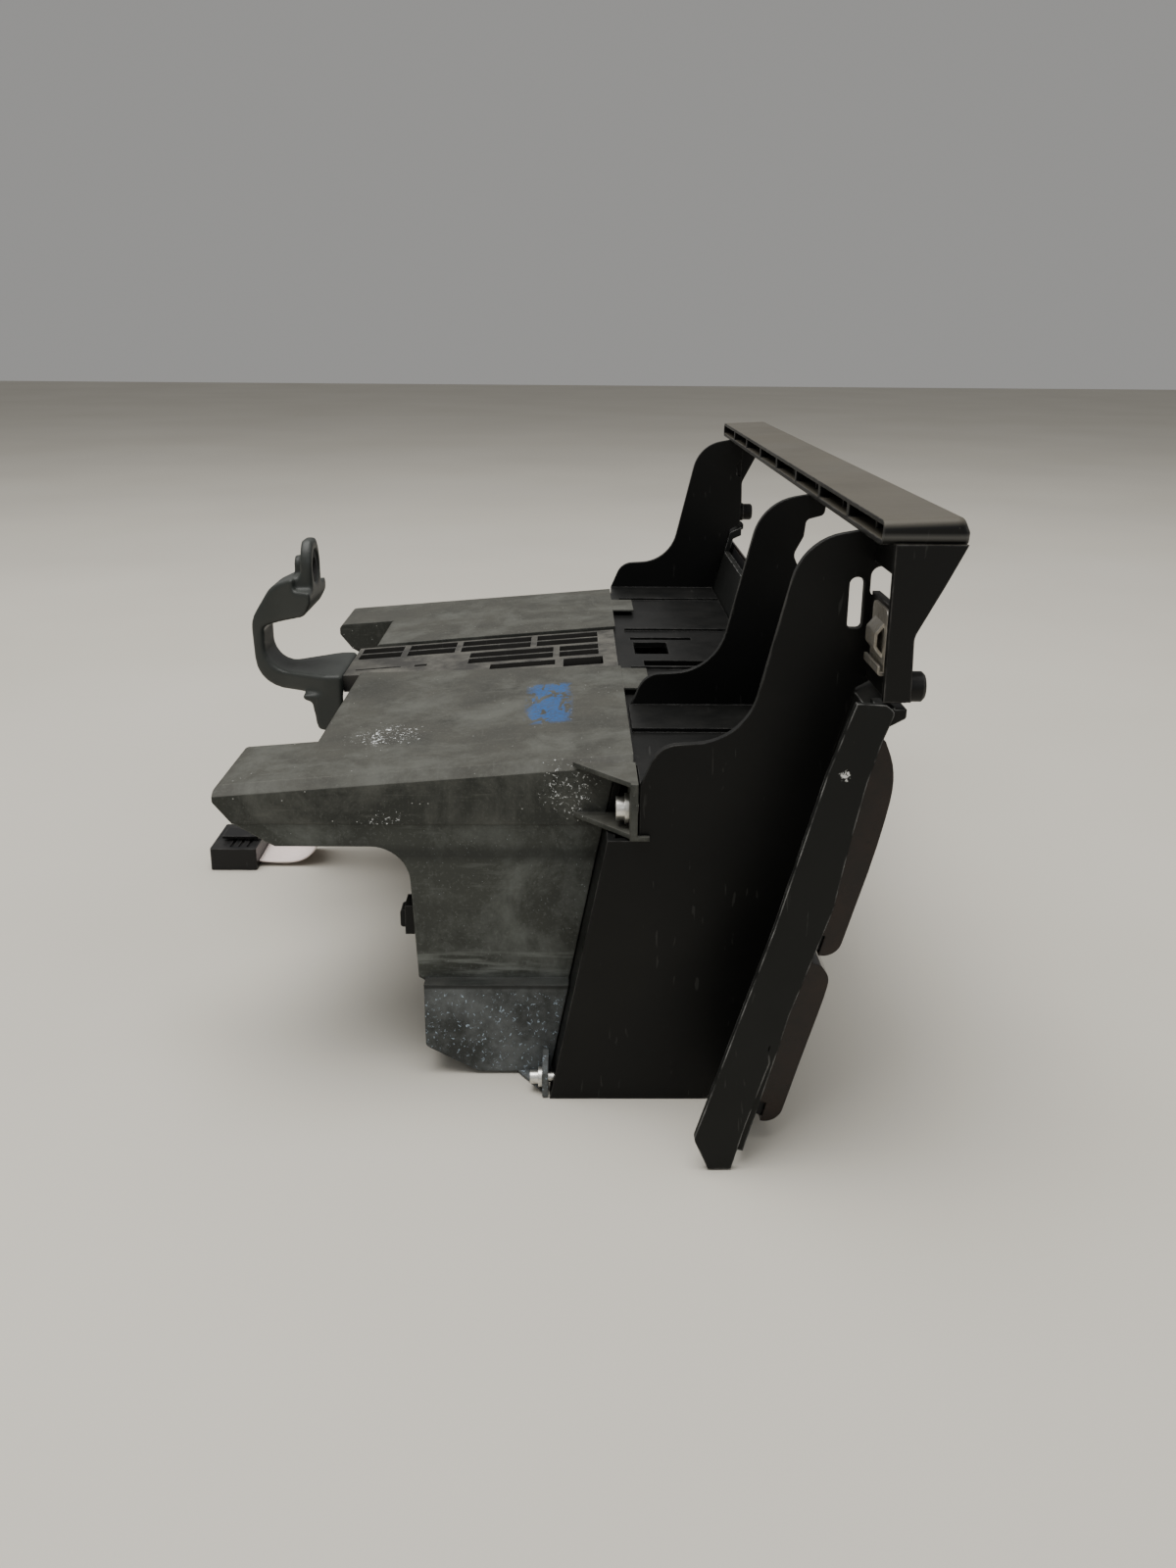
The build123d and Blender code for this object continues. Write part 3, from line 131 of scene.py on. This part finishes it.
def make_studio():
    """Pale floor, one broad light overhead, two weak fills and a pale surround."""
    mesh = bpy.data.meshes.new("floor")
    half = 6.0
    low = cad_box[0][2] - 0.0002
    corners = [(-half, -half, low), (half, -half, low), (half, half, low), (-half, half, low)]
    mesh.from_pydata(corners, [], [(0, 1, 2, 3)])
    floor = bpy.data.objects.new("floor", mesh)
    bpy.context.collection.objects.link(floor)
    tree, shader = new_material("floor_paper")
    cloud = noise(tree, 3.0, detail=3.0)
    tone = mix_colour(tree, cloud, (0.50, 0.475, 0.415), (0.60, 0.575, 0.515))
    tree.links.new(tone, shader.inputs["Base Color"])
    shader.inputs["Roughness"].default_value = 0.85
    floor.data.materials.append(LOOKS["floor_paper"])
    area_light("overhead", (-0.15, 0.25, 1.9), (0.0, 0.0, 0.1), 1.7, 58.0, (1.0, 0.985, 0.96))
    area_light("near_fill", (-1.9, -0.6, 1.1), (0.0, 0.0, 0.1), 1.2, 5.0, (0.96, 0.98, 1.0))
    area_light("door_fill", (0.3, -1.9, 1.2), (0.0, 0.0, 0.1), 1.2, 5.0, (1.0, 0.98, 0.95))
    world = bpy.data.worlds.new("studio_surround")
    bpy.context.scene.world = world
    world.use_nodes = True
    surround = world.node_tree.nodes["Background"]
    surround.inputs["Color"].default_value = (0.80, 0.79, 0.77, 1.0)
    surround.inputs["Strength"].default_value = 0.40


# ---- material building blocks -------------------------------------------------------
def new_material(name):
    """Empty node material and its shader, kept in LOOKS by name."""
    material = bpy.data.materials.new("look_" + name)
    LOOKS[name] = material
    material.use_nodes = True
    return material.node_tree, material.node_tree.nodes["Principled BSDF"]


def place(tree, stretch=(1.0, 1.0, 1.0)):
    """Object coordinates, stretched along the axes."""
    coordinate = tree.nodes.new("ShaderNodeTexCoord").outputs["Object"]
    if stretch == (1.0, 1.0, 1.0):
        return coordinate
    mapping = tree.nodes.new("ShaderNodeMapping")
    mapping.inputs["Scale"].default_value = stretch
    tree.links.new(coordinate, mapping.inputs["Vector"])
    return mapping.outputs["Vector"]


def noise(tree, scale, detail=2.0, rough=0.5, stretch=(1.0, 1.0, 1.0), warp=0.0):
    """Noise, 0 to 1; scale is features per metre."""
    node = tree.nodes.new("ShaderNodeTexNoise")
    node.inputs["Scale"].default_value = scale
    node.inputs["Detail"].default_value = detail
    node.inputs["Roughness"].default_value = rough
    node.inputs["Distortion"].default_value = warp
    tree.links.new(place(tree, stretch), node.inputs["Vector"])
    return node.outputs["Fac"]


def cells(tree, scale, output="Distance"):
    """Voronoi cells; scale is cells per metre."""
    node = tree.nodes.new("ShaderNodeTexVoronoi")
    node.inputs["Scale"].default_value = scale
    tree.links.new(place(tree), node.inputs["Vector"])
    return node.outputs[output]


def axis_value(tree, axis):
    """Row-frame coordinate along an axis, in metres."""
    split = tree.nodes.new("ShaderNodeSeparateXYZ")
    tree.links.new(place(tree), split.inputs["Vector"])
    return split.outputs[axis]


def facing_up(tree):
    """How far a face looks upwards, from -1 to 1."""
    split = tree.nodes.new("ShaderNodeSeparateXYZ")
    tree.links.new(tree.nodes.new("ShaderNodeNewGeometry").outputs["Normal"], split.inputs["Vector"])
    return split.outputs["Z"]


def maths(tree, operation, first, second=0.0):
    """Math node on values or sockets."""
    node = tree.nodes.new("ShaderNodeMath")
    node.operation = operation
    for socket, value in zip(node.inputs, (first, second)):
        if isinstance(value, (int, float)):
            socket.default_value = value
        else:
            tree.links.new(value, socket)
    return node.outputs["Value"]


def span(tree, value, low, high, to_low=0.0, to_high=1.0):
    """Maps a value from one range to another, held at both ends."""
    node = tree.nodes.new("ShaderNodeMapRange")
    tree.links.new(value, node.inputs["Value"])
    for name, number in (("From Min", low), ("From Max", high), ("To Min", to_low), ("To Max", to_high)):
        node.inputs[name].default_value = number
    return node.outputs["Result"]


def within(tree, axis, low, high, soft=0.004):
    """1 between two places along an axis, fading over soft metres."""
    value = axis_value(tree, axis)
    rise = span(tree, value, low, low + soft)
    fall = span(tree, value, high - soft, high, 1.0, 0.0)
    return maths(tree, "MULTIPLY", rise, fall)


def mix_colour(tree, factor, low, high):
    """Colour between two colours or sockets, by a factor socket."""
    node = tree.nodes.new("ShaderNodeMix")
    node.data_type = "RGBA"
    tree.links.new(factor, node.inputs["Factor"])
    for socket, value in ((node.inputs[6], low), (node.inputs[7], high)):
        if isinstance(value, tuple):
            socket.default_value = (*value, 1.0)
        else:
            tree.links.new(value, socket)
    return node.outputs[2]


def edges(tree, width):
    """Mask of a node's sharp edges, about width metres wide."""
    rounded = tree.nodes.new("ShaderNodeBevel")
    rounded.samples = 4
    rounded.inputs["Radius"].default_value = width
    dot = tree.nodes.new("ShaderNodeVectorMath")
    dot.operation = "DOT_PRODUCT"
    tree.links.new(rounded.outputs["Normal"], dot.inputs[0])
    tree.links.new(tree.nodes.new("ShaderNodeNewGeometry").outputs["Normal"], dot.inputs[1])
    return span(tree, dot.outputs["Value"], 0.75, 0.995, 1.0, 0.0)


def relief(tree, shader, height, strength, depth, rounding=0.0):
    """Bump from a height socket, over edges rounded by a radius."""
    bump = tree.nodes.new("ShaderNodeBump")
    bump.inputs["Strength"].default_value = strength
    bump.inputs["Distance"].default_value = depth
    tree.links.new(height, bump.inputs["Height"])
    if rounding:
        rounded = tree.nodes.new("ShaderNodeBevel")
        rounded.samples = 4
        rounded.inputs["Radius"].default_value = rounding
        tree.links.new(rounded.outputs["Normal"], bump.inputs["Normal"])
    tree.links.new(bump.outputs["Normal"], shader.inputs["Normal"])


def specks(tree, scale, share, cover):
    """Small round flecks in a share of the cells, more of them where the cover mask is high."""
    core = span(tree, cells(tree, scale), 0.16, 0.22, 1.0, 0.0)
    pick = tree.nodes.new("ShaderNodeSeparateColor")
    tree.links.new(cells(tree, scale, "Color"), pick.inputs["Color"])
    lowered = maths(tree, "SUBTRACT", pick.outputs["Red"], maths(tree, "MULTIPLY", cover, EXTRA_SPECKS))
    chosen = maths(tree, "LESS_THAN", lowered, share)
    return maths(tree, "MULTIPLY", core, chosen)


# ---- moulded plastics ---------------------------------------------------------------
def moulding(name, dark, light, gloss, grain=1400.0, grain_depth=0.00004, dust=0.3, edge=0.35,
             rounding=0.0004, edge_tone=(0.22, 0.215, 0.205), dust_tone=(0.20, 0.19, 0.17), shine=0.3):
    """Moulded plastic: mottled colour, dust on top, edges lightened as wear and painted highlight, and a
    fine spark-eroded grain.
    """
    tree, shader = new_material(name)
    mottle = noise(tree, 38.0, detail=5.0, rough=0.62)
    colour = mix_colour(tree, mottle, dark, light)
    level = span(tree, facing_up(tree), 0.2, 0.95)
    settled = maths(tree, "MULTIPLY", level, span(tree, noise(tree, 55.0, 6.0, 0.7), 0.4, 0.7))
    settled = maths(tree, "MULTIPLY", settled, dust)
    colour = mix_colour(tree, settled, colour, dust_tone)
    # Sharp edges are lightened: partly wear, partly painted highlight where the edges catch the overhead
    # light.
    edge_wear_and_highlight = maths(tree, "MULTIPLY", edges(tree, 0.0007), span(tree, noise(tree, 160.0, 3.0), 0.35, 0.65))
    edge_wear_and_highlight = maths(tree, "MULTIPLY", edge_wear_and_highlight, edge)
    colour = mix_colour(tree, edge_wear_and_highlight, colour, edge_tone)
    scratch = span(tree, noise(tree, 60.0, 2.0, stretch=(1.0, 9.0, 1.6), warp=0.4), 0.70, 0.74)
    colour = mix_colour(tree, maths(tree, "MULTIPLY", scratch, 0.10), colour, (0.16, 0.158, 0.15))
    tree.links.new(colour, shader.inputs["Base Color"])
    shader.inputs["Specular IOR Level"].default_value = shine
    sheen = span(tree, noise(tree, 24.0, 4.0), 0.3, 0.7, gloss - 0.07, gloss + 0.09)
    dulled = maths(tree, "MULTIPLY", settled, 0.5)
    tree.links.new(maths(tree, "ADD", sheen, dulled), shader.inputs["Roughness"])
    relief(tree, shader, noise(tree, grain, 2.0), 0.35, grain_depth, rounding)
    return tree, shader


def lay_over(tree, shader, amount, tone):
    """A tone laid over a moulding's colour where the amount says."""
    socket = shader.inputs["Base Color"]
    below = socket.links[0].from_socket
    tree.links.new(mix_colour(tree, amount, below, tone), socket)


def black_moulding():
    """Black carrier plastic, hardly dusty."""
    moulding("black_moulding", (0.0018, 0.0020, 0.0019), (0.0042, 0.0045, 0.0043), 0.44, dust=0.03,
             edge=0.35, shine=0.2)


def beam_moulding():
    """Black beam, dusty on its ribs, with painted shade in its pockets."""
    tree, shader = moulding("beam_moulding", (0.020, 0.0195, 0.018), (0.045, 0.043, 0.039), 0.50, dust=0.75,
                            edge=0.6, dust_tone=(0.15, 0.145, 0.125))
    # Painted shade: the beam darkens with depth below the covers' top, down into its pockets.
    fall = maths(tree, "MULTIPLY", axis_value(tree, "Y"), COVER_FALL)
    height = maths(tree, "ADD", axis_value(tree, "Z"), fall)
    pocket_shade = span(tree, height, COVER_TOP - POCKET_SHADE_FULL, COVER_TOP - POCKET_SHADE_START, 1.0, 0.0)
    lay_over(tree, shader, maths(tree, "MULTIPLY", pocket_shade, 0.96), (0.003, 0.003, 0.0035))


def connector_moulding():
    """Black plastic of the connector and its socket."""
    moulding("connector_moulding", (0.0035, 0.0035, 0.004), (0.007, 0.007, 0.0075), 0.38, dust=0.12)


def door_moulding():
    """Matte black of the doors' shells and inner skins."""
    moulding("door_moulding", (0.005, 0.005, 0.0055), (0.010, 0.010, 0.011), 0.5, dust=0.1)


def hood_moulding():
    """Black beam, its top laid over with warm grey dust and painted sheen, and a painted highlight line
    along its near end.
    """
    tree, shader = moulding("hood_moulding", (0.0020, 0.0021, 0.0020), (0.0045, 0.0046, 0.0044), 0.44,
                            grain=900.0, grain_depth=0.00006, dust=0.1, edge=0.6, rounding=0.0009,
                            edge_tone=(0.26, 0.25, 0.24), shine=0.22)
    # Warm grey over the hood's up-facing top: partly dust, partly painted sheen where the black top
    # reflects the bright overhead.
    dust_and_sheen = span(tree, facing_up(tree), 0.25, 0.75, 0.0, 0.94)
    high = span(tree, axis_value(tree, "Z"), *HOOD_DUST_SHEEN_Z)
    tone = mix_colour(tree, noise(tree, 30.0, 4.0), (0.066, 0.060, 0.047), (0.100, 0.091, 0.073))
    lay_over(tree, shader, maths(tree, "MULTIPLY", dust_and_sheen, high), tone)
    # Painted highlight: a thin light line along the lower rounding of the hood's near end.
    near_end = span(tree, axis_value(tree, "X"), *HOOD_END_X)
    nose_highlight = maths(tree, "MULTIPLY", within(tree, "Z", *HOOD_HIGHLIGHT_Z, 0.0012), near_end)
    lay_over(tree, shader, maths(tree, "MULTIPLY", nose_highlight, 0.5), (0.15, 0.148, 0.14))


def fascia_moulding():
    """Grained charcoal with its edges lightened as wear and painted highlight, and two nicks."""
    tree, shader = moulding("fascia_moulding", (0.0030, 0.0034, 0.0030), (0.0072, 0.0078, 0.0070), 0.50,
                            grain=520.0, grain_depth=0.00011, dust=0.10, edge=1.0, rounding=0.0006,
                            edge_tone=(0.40, 0.40, 0.39), shine=0.22)
    nicks = chips(tree, STRIP_NICKS, 0.46)
    lay_over(tree, shader, nicks, (0.62, 0.62, 0.60))


def hook_moulding():
    """Dark grey-green, semi-matte."""
    moulding("hook_moulding", (0.017, 0.020, 0.018), (0.030, 0.034, 0.031), 0.44, grain=700.0,
             grain_depth=0.00005, dust=0.35, edge=0.5, rounding=0.0012, dust_tone=(0.09, 0.095, 0.088),
             shine=0.4)


def painted_side_shade(tree, shader, tone):
    """Painted shade: steep faces take a darker, greener tone, as they get less of the overhead light."""
    side_shade = span(tree, maths(tree, "ABSOLUTE", facing_up(tree)), 0.25, 0.75, 0.85, 0.0)
    paler = tuple(1.5 * channel for channel in tone)
    lay_over(tree, shader, side_shade, mix_colour(tree, noise(tree, 45.0, 4.0), tone, paler))


def streaks(tree):
    """Fine scuffs running along Y."""
    return noise(tree, 420.0, 5.0, 0.6, stretch=(1.0, 0.10, 1.0))


def weather(tree, shader, dark, light):
    """Broad dirt, pale handling haze and fine scuffs."""
    dirt = span(tree, noise(tree, 17.0, 5.0, 0.6, warp=0.5), 0.50, 0.72, 0.0, 0.55)
    lay_over(tree, shader, dirt, dark)
    haze = span(tree, noise(tree, 34.0, 6.0, 0.72, warp=0.3), 0.47, 0.66, 0.0, 0.60)
    lay_over(tree, shader, haze, light)
    lay_over(tree, shader, span(tree, streaks(tree), 0.60, 0.70, 0.0, 0.30), light)
    lay_over(tree, shader, span(tree, noise(tree, 900.0, 3.0, 0.7), 0.56, 0.68, 0.0, 0.35), light)


def chips(tree, places, amount=0.585):
    """Fine ragged chips gathered around places, each an x, y, z and reach in metres."""
    near = None
    for x, y, z, reach in places:
        apart = tree.nodes.new("ShaderNodeVectorMath")
        apart.operation = "DISTANCE"
        tree.links.new(place(tree), apart.inputs[0])
        apart.inputs[1].default_value = (x, y, z)
        close = span(tree, apart.outputs["Value"], reach * 0.25, reach, 1.0, 0.0)
        near = close if near is None else maths(tree, "MAXIMUM", near, close)
    ragged = noise(tree, 700.0, 5.0, 0.72, warp=0.8)
    edge = span(tree, near, 0.0, 1.0, 0.86, amount)
    return span(tree, maths(tree, "SUBTRACT", ragged, edge), 0.0, 0.02)


def cover_moulding(name, marked):
    """Dusty grey cover with white chips; the left one carries a dab of blue marker."""
    tree, shader = moulding(name, (0.031, 0.031, 0.026), (0.058, 0.057, 0.048), 0.62, grain=420.0,
                            grain_depth=0.00013, dust=0.35, edge=0.7, rounding=0.0008,
                            edge_tone=(0.26, 0.25, 0.22), dust_tone=(0.085, 0.083, 0.070))
    # Painted shade on the covers' steep sides.
    painted_side_shade(tree, shader, (0.019, 0.021, 0.018))
    weather(tree, shader, (0.013, 0.0145, 0.013), (0.105, 0.108, 0.095))
    stray = specks(tree, 900.0, 0.003, span(tree, noise(tree, 22.0, 4.0), 0.46, 0.62))
    lay_over(tree, shader, maths(tree, "MULTIPLY", stray, 0.7), (0.45, 0.46, 0.44))
    if marked:
        lay_over(tree, shader, chips(tree, COVER_CHIPS), (0.60, 0.62, 0.62))
        box = maths(tree, "MULTIPLY", within(tree, "X", *INK_X), within(tree, "Y", *INK_Y))
        upper = span(tree, axis_value(tree, "Z"), *INK_Z)
        stroke = span(tree, noise(tree, 75.0, 3.0, 0.6, stretch=(1.0, 2.2, 1.0), warp=1.0), 0.44, 0.48)
        thin = span(tree, noise(tree, 700.0, 3.0), 0.38, 0.60, 0.45, 1.0)
        stroke = maths(tree, "MULTIPLY", stroke, thin)
        ink = maths(tree, "MULTIPLY", maths(tree, "MULTIPLY", box, upper), stroke)
        lay_over(tree, shader, maths(tree, "MULTIPLY", ink, 0.9), (0.016, 0.085, 0.25))


def shell_moulding():
    """Darker, greener shell, chipped near the floor and along its front edge, with a painted shadow line
    under the covers' band.
    """
    tree, shader = moulding("shell_moulding", (0.026, 0.0285, 0.0245), (0.050, 0.054, 0.046), 0.55,
                            grain=420.0, grain_depth=0.00013, dust=0.45, edge=0.8, rounding=0.0008,
                            edge_tone=(0.20, 0.21, 0.19))
    weather(tree, shader, (0.014, 0.0155, 0.014), (0.125, 0.135, 0.125))
    stray = specks(tree, 850.0, 0.006, span(tree, noise(tree, 30.0, 4.0), 0.35, 0.6))
    lay_over(tree, shader, maths(tree, "MULTIPLY", stray, 0.7), (0.34, 0.38, 0.40))
    scuff = span(tree, streaks(tree), 0.45, 0.62)
    scuff = maths(tree, "MULTIPLY", within(tree, "Z", *SCUFF_Z, 0.003), scuff)
    lay_over(tree, shader, maths(tree, "MULTIPLY", scuff, 0.5), (0.20, 0.215, 0.20))
    low = span(tree, axis_value(tree, "Z"), *FOOT_Z, 1.0, 0.0)
    cloud = span(tree, noise(tree, 60.0, 6.0, 0.75), 0.38, 0.64)
    cool = mix_colour(tree, cloud, (0.026, 0.029, 0.029), (0.125, 0.136, 0.140))
    lay_over(tree, shader, maths(tree, "MULTIPLY", low, 0.75), cool)
    line = within(tree, "Z", *LEDGE_LINE_Z, 0.0008)
    lay_over(tree, shader, maths(tree, "MULTIPLY", line, 0.8), (0.008, 0.009, 0.0085))
    foot = span(tree, axis_value(tree, "Z"), *CHIPPED_Z, 0.605, 0.90)
    ragged = noise(tree, 620.0, 5.0, 0.72, warp=0.8)
    bare = span(tree, maths(tree, "SUBTRACT", ragged, foot), 0.0, 0.02)
    lay_over(tree, shader, bare, (0.34, 0.42, 0.50))
    # Painted shadow: a dark line just under the covers' overhanging band.
    seam_shadow = within(tree, "Z", *SEAM_SHADOW_Z, 0.003)
    lay_over(tree, shader, maths(tree, "MULTIPLY", seam_shadow, 0.6), (0.010, 0.0115, 0.0105))


# ---- other materials ----------------------------------------------------------------
def metal(name, tone, gloss, stain):
    """Plated or bare steel with fine brushing and dull stains."""
    tree, shader = new_material(name)
    blotch = span(tree, noise(tree, 300.0, 5.0, 0.65), 0.35, 0.7)
    colour = mix_colour(tree, blotch, tone, stain)
    tree.links.new(colour, shader.inputs["Base Color"])
    shader.inputs["Metallic"].default_value = 1.0
    tree.links.new(span(tree, blotch, 0.0, 1.0, gloss, gloss + 0.2), shader.inputs["Roughness"])
    relief(tree, shader, noise(tree, 2200.0, 2.0, stretch=(1.0, 0.15, 1.0)), 0.3, 0.00003, 0.0003)


def door_veneer():
    """Dark red-brown veneer, grain along the door, under thick lacquer."""
    tree, shader = new_material("door_veneer")
    flow = noise(tree, 90.0, 6.0, 0.6, stretch=(0.08, 1.0, 1.0), warp=0.6)
    colour = mix_colour(tree, span(tree, flow, 0.3, 0.7), (0.0050, 0.0028, 0.0022), (0.017, 0.0078, 0.0050))
    pores = span(tree, noise(tree, 900.0, 2.0, stretch=(0.05, 1.0, 1.0)), 0.62, 0.70)
    colour = mix_colour(tree, maths(tree, "MULTIPLY", pores, 0.7), colour, (0.003, 0.002, 0.0018))
    tree.links.new(colour, shader.inputs["Base Color"])
    tree.links.new(span(tree, noise(tree, 60.0, 3.0), 0.3, 0.7, 0.24, 0.34), shader.inputs["Roughness"])
    shader.inputs["Specular IOR Level"].default_value = 0.25
    shader.inputs["Coat Weight"].default_value = 0.18
    shader.inputs["Coat Roughness"].default_value = 0.06
    relief(tree, shader, noise(tree, 35.0, 2.0), 0.12, 0.0002, 0.0008)


def bin_liner():
    """Short black flock."""
    tree, shader = new_material("bin_liner")
    fibre = noise(tree, 2600.0, 3.0, 0.7)
    tone = mix_colour(tree, fibre, (0.004, 0.004, 0.0045), (0.016, 0.016, 0.017))
    tree.links.new(tone, shader.inputs["Base Color"])
    shader.inputs["Roughness"].default_value = 0.95
    shader.inputs["Sheen Weight"].default_value = 0.35
    relief(tree, shader, fibre, 0.6, 0.0002)


def acetal():
    """Natural white acetal, a little yellowed."""
    tree, shader = new_material("white_acetal")
    tint = noise(tree, 70.0, 3.0)
    tone = mix_colour(tree, tint, (0.60, 0.58, 0.52), (0.70, 0.69, 0.64))
    tree.links.new(tone, shader.inputs["Base Color"])
    tree.links.new(span(tree, tint, 0.0, 1.0, 0.3, 0.42), shader.inputs["Roughness"])
    shader.inputs["Subsurface Weight"].default_value = 0.1
    relief(tree, shader, noise(tree, 900.0), 0.2, 0.00003, 0.0003)


def lens():
    """Frosted clear lens with fine optical ribs."""
    tree, shader = new_material("lens")
    ribs = maths(tree, "PINGPONG", axis_value(tree, "X"), 0.0006)
    tone = mix_colour(tree, noise(tree, 200.0), (0.72, 0.72, 0.68), (0.82, 0.82, 0.79))
    tree.links.new(tone, shader.inputs["Base Color"])
    shader.inputs["Roughness"].default_value = 0.25
    shader.inputs["Transmission Weight"].default_value = 0.6
    relief(tree, shader, span(tree, ribs, 0.0, 0.0006), 0.8, 0.0003)


def circuit_board():
    """Green solder mask over copper runs."""
    tree, shader = new_material("circuit_board")
    runs = span(tree, maths(tree, "PINGPONG", axis_value(tree, "X"), 0.0011), 0.0004, 0.0005)
    tone = mix_colour(tree, runs, (0.012, 0.07, 0.03), (0.02, 0.13, 0.055))
    tree.links.new(tone, shader.inputs["Base Color"])
    tree.links.new(span(tree, noise(tree, 400.0), 0.3, 0.7, 0.3, 0.45), shader.inputs["Roughness"])
    relief(tree, shader, runs, 0.5, 0.00004)


def rubber():
    """Black rubber with a bloom of dust."""
    tree, shader = new_material("rubber")
    bloom = span(tree, noise(tree, 260.0, 4.0), 0.4, 0.75)
    tone = mix_colour(tree, bloom, (0.010, 0.010, 0.010), (0.034, 0.033, 0.032))
    tree.links.new(tone, shader.inputs["Base Color"])
    tree.links.new(span(tree, bloom, 0.0, 1.0, 0.7, 0.9), shader.inputs["Roughness"])
    relief(tree, shader, noise(tree, 1300.0), 0.3, 0.00005)


def cable_jacket():
    """Pinkish white flat cable, greyed along its length."""
    tree, shader = new_material("cable_jacket")
    soil = noise(tree, 90.0, 5.0, 0.6)
    tone = mix_colour(tree, soil, (0.74, 0.63, 0.59), (0.90, 0.80, 0.77))
    tree.links.new(tone, shader.inputs["Base Color"])
    tree.links.new(span(tree, soil, 0.0, 1.0, 0.55, 0.38), shader.inputs["Roughness"])
    relief(tree, shader, noise(tree, 700.0), 0.25, 0.00005)


# ---- flat cable ---------------------------------------------------------------------
CABLE_X = 46.0
CABLE_W = 24.0
CABLE_T = 1.2
ROUTE = [
    (41.5, 74.0), (55.0, 74.0), (72.0, 76.0), (88.0, 71.0), (100.0, 60.0), (106.0, 45.0),
    (104.5, 28.0), (105.5, 12.5), (112.5, 3.6), (123.0, 1.4), (135.4, 2.6),
]
WIRES = 10
ARC_STEPS = 6           # facets round each wire, on each side


def cable_line():
    """Points along the cable's smooth centreline, read from its NURBS spline."""
    data = bpy.data.curves.new("ribbon_line", "CURVE")
    data.dimensions = "3D"
    data.resolution_u = 12
    spline = data.splines.new("NURBS")
    spline.points.add(len(ROUTE) - 1)
    for point, (y, z) in zip(spline.points, ROUTE):
        point.co = (CABLE_X * MM, y * MM, z * MM, 1.0)
    spline.order_u = 3
    spline.use_endpoint_u = True
    holder = bpy.data.objects.new("ribbon_line", data)
    line = bpy.data.meshes.new_from_object(holder)
    points = [vertex.co.copy() for vertex in line.vertices]
    bpy.data.objects.remove(holder)
    bpy.data.meshes.remove(line)
    return points


def cable_section():
    """Outline of the flat cable across its width: a row of round wires joined by thin webs."""
    pitch = CABLE_W / WIRES
    wire = CABLE_T / 2
    web = 0.22
    web_half = 0.12
    across = []
    for index in range(WIRES):
        centre = -CABLE_W / 2 + pitch * (index + 0.5)
        for step in range(ARC_STEPS + 1):
            angle = math.pi * (1.0 - step / ARC_STEPS)
            x = centre + (pitch / 2 - web_half) * math.cos(angle)
            across.append((x, web + (wire - web) * math.sin(angle)))
    return across + [(x, -n) for x, n in reversed(across)]


def make_cable():
    """Flat ribbed cable from the socket to the connector."""
    points = cable_line()
    section = cable_section()
    mesh = bpy.data.meshes.new("ribbon")
    cable = bmesh.new()
    rings = []
    for index, point in enumerate(points):
        before = points[max(index - 1, 0)]
        after = points[min(index + 1, len(points) - 1)]
        along = (after - before).normalized()
        normal = Vector((1.0, 0.0, 0.0)).cross(along)
        places = [point + Vector((x * MM, 0, 0)) + normal * n * MM for x, n in section]
        rings.append([cable.verts.new(spot) for spot in places])
    for ring, following in zip(rings, rings[1:]):
        for corner in range(len(section)):
            other = (corner + 1) % len(section)
            cable.faces.new((ring[corner], ring[other], following[other], following[corner]))
    cable.faces.new(rings[0])
    cable.faces.new(rings[-1][::-1])
    bmesh.ops.recalc_face_normals(cable, faces=cable.faces)
    for face in cable.faces:
        face.smooth = len(face.verts) == 4
    cable.to_mesh(mesh)
    cable.free()
    ribbon = bpy.data.objects.new("ribbon", mesh)
    bpy.context.collection.objects.link(ribbon)
    ribbon.data.materials.append(LOOKS["cable_jacket"])
    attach(ribbon, "module")
    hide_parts("ribbon_cable")


# ---- put it together ----------------------------------------------------------------
def make_materials():
    """Every material, by the name of its slot."""
    black_moulding()
    beam_moulding()
    connector_moulding()
    door_moulding()
    hood_moulding()
    fascia_moulding()
    hook_moulding()
    cover_moulding("cover_moulding", False)
    cover_moulding("cover_moulding_marked", True)
    shell_moulding()
    metal("zinc_steel", (0.80, 0.79, 0.75), 0.28, (0.50, 0.49, 0.45))
    metal("spring_steel", (0.60, 0.58, 0.53), 0.36, (0.30, 0.27, 0.22))
    door_veneer()
    bin_liner()
    acetal()
    lens()
    circuit_board()
    rubber()
    cable_jacket()


def dress_nodes():
    """Give each CAD node the material of its slot."""
    for entry in frame["record"]["subparts"]:
        name = entry["material_slot"]
        if entry["node"] == "upper_cover_left":
            name = "cover_moulding_marked"
        slots = frame["nodes"][entry["node"]].data.materials
        slots.clear()
        slots.append(LOOKS[name])


def cast_hook():
    """Round the hook all over, as a casting is."""
    hook = frame["nodes"]["support_hook"]
    solid = hook.modifiers.new("cast", "REMESH")
    solid.mode = "VOXEL"
    solid.voxel_size = HOOK_VOXEL
    solid.use_smooth_shade = True
    soften = hook.modifiers.new("soften", "SMOOTH")
    soften.factor = 0.6
    soften.iterations = 10


make_camera()
make_studio()
make_materials()
make_cable()
dress_nodes()
cast_hook()
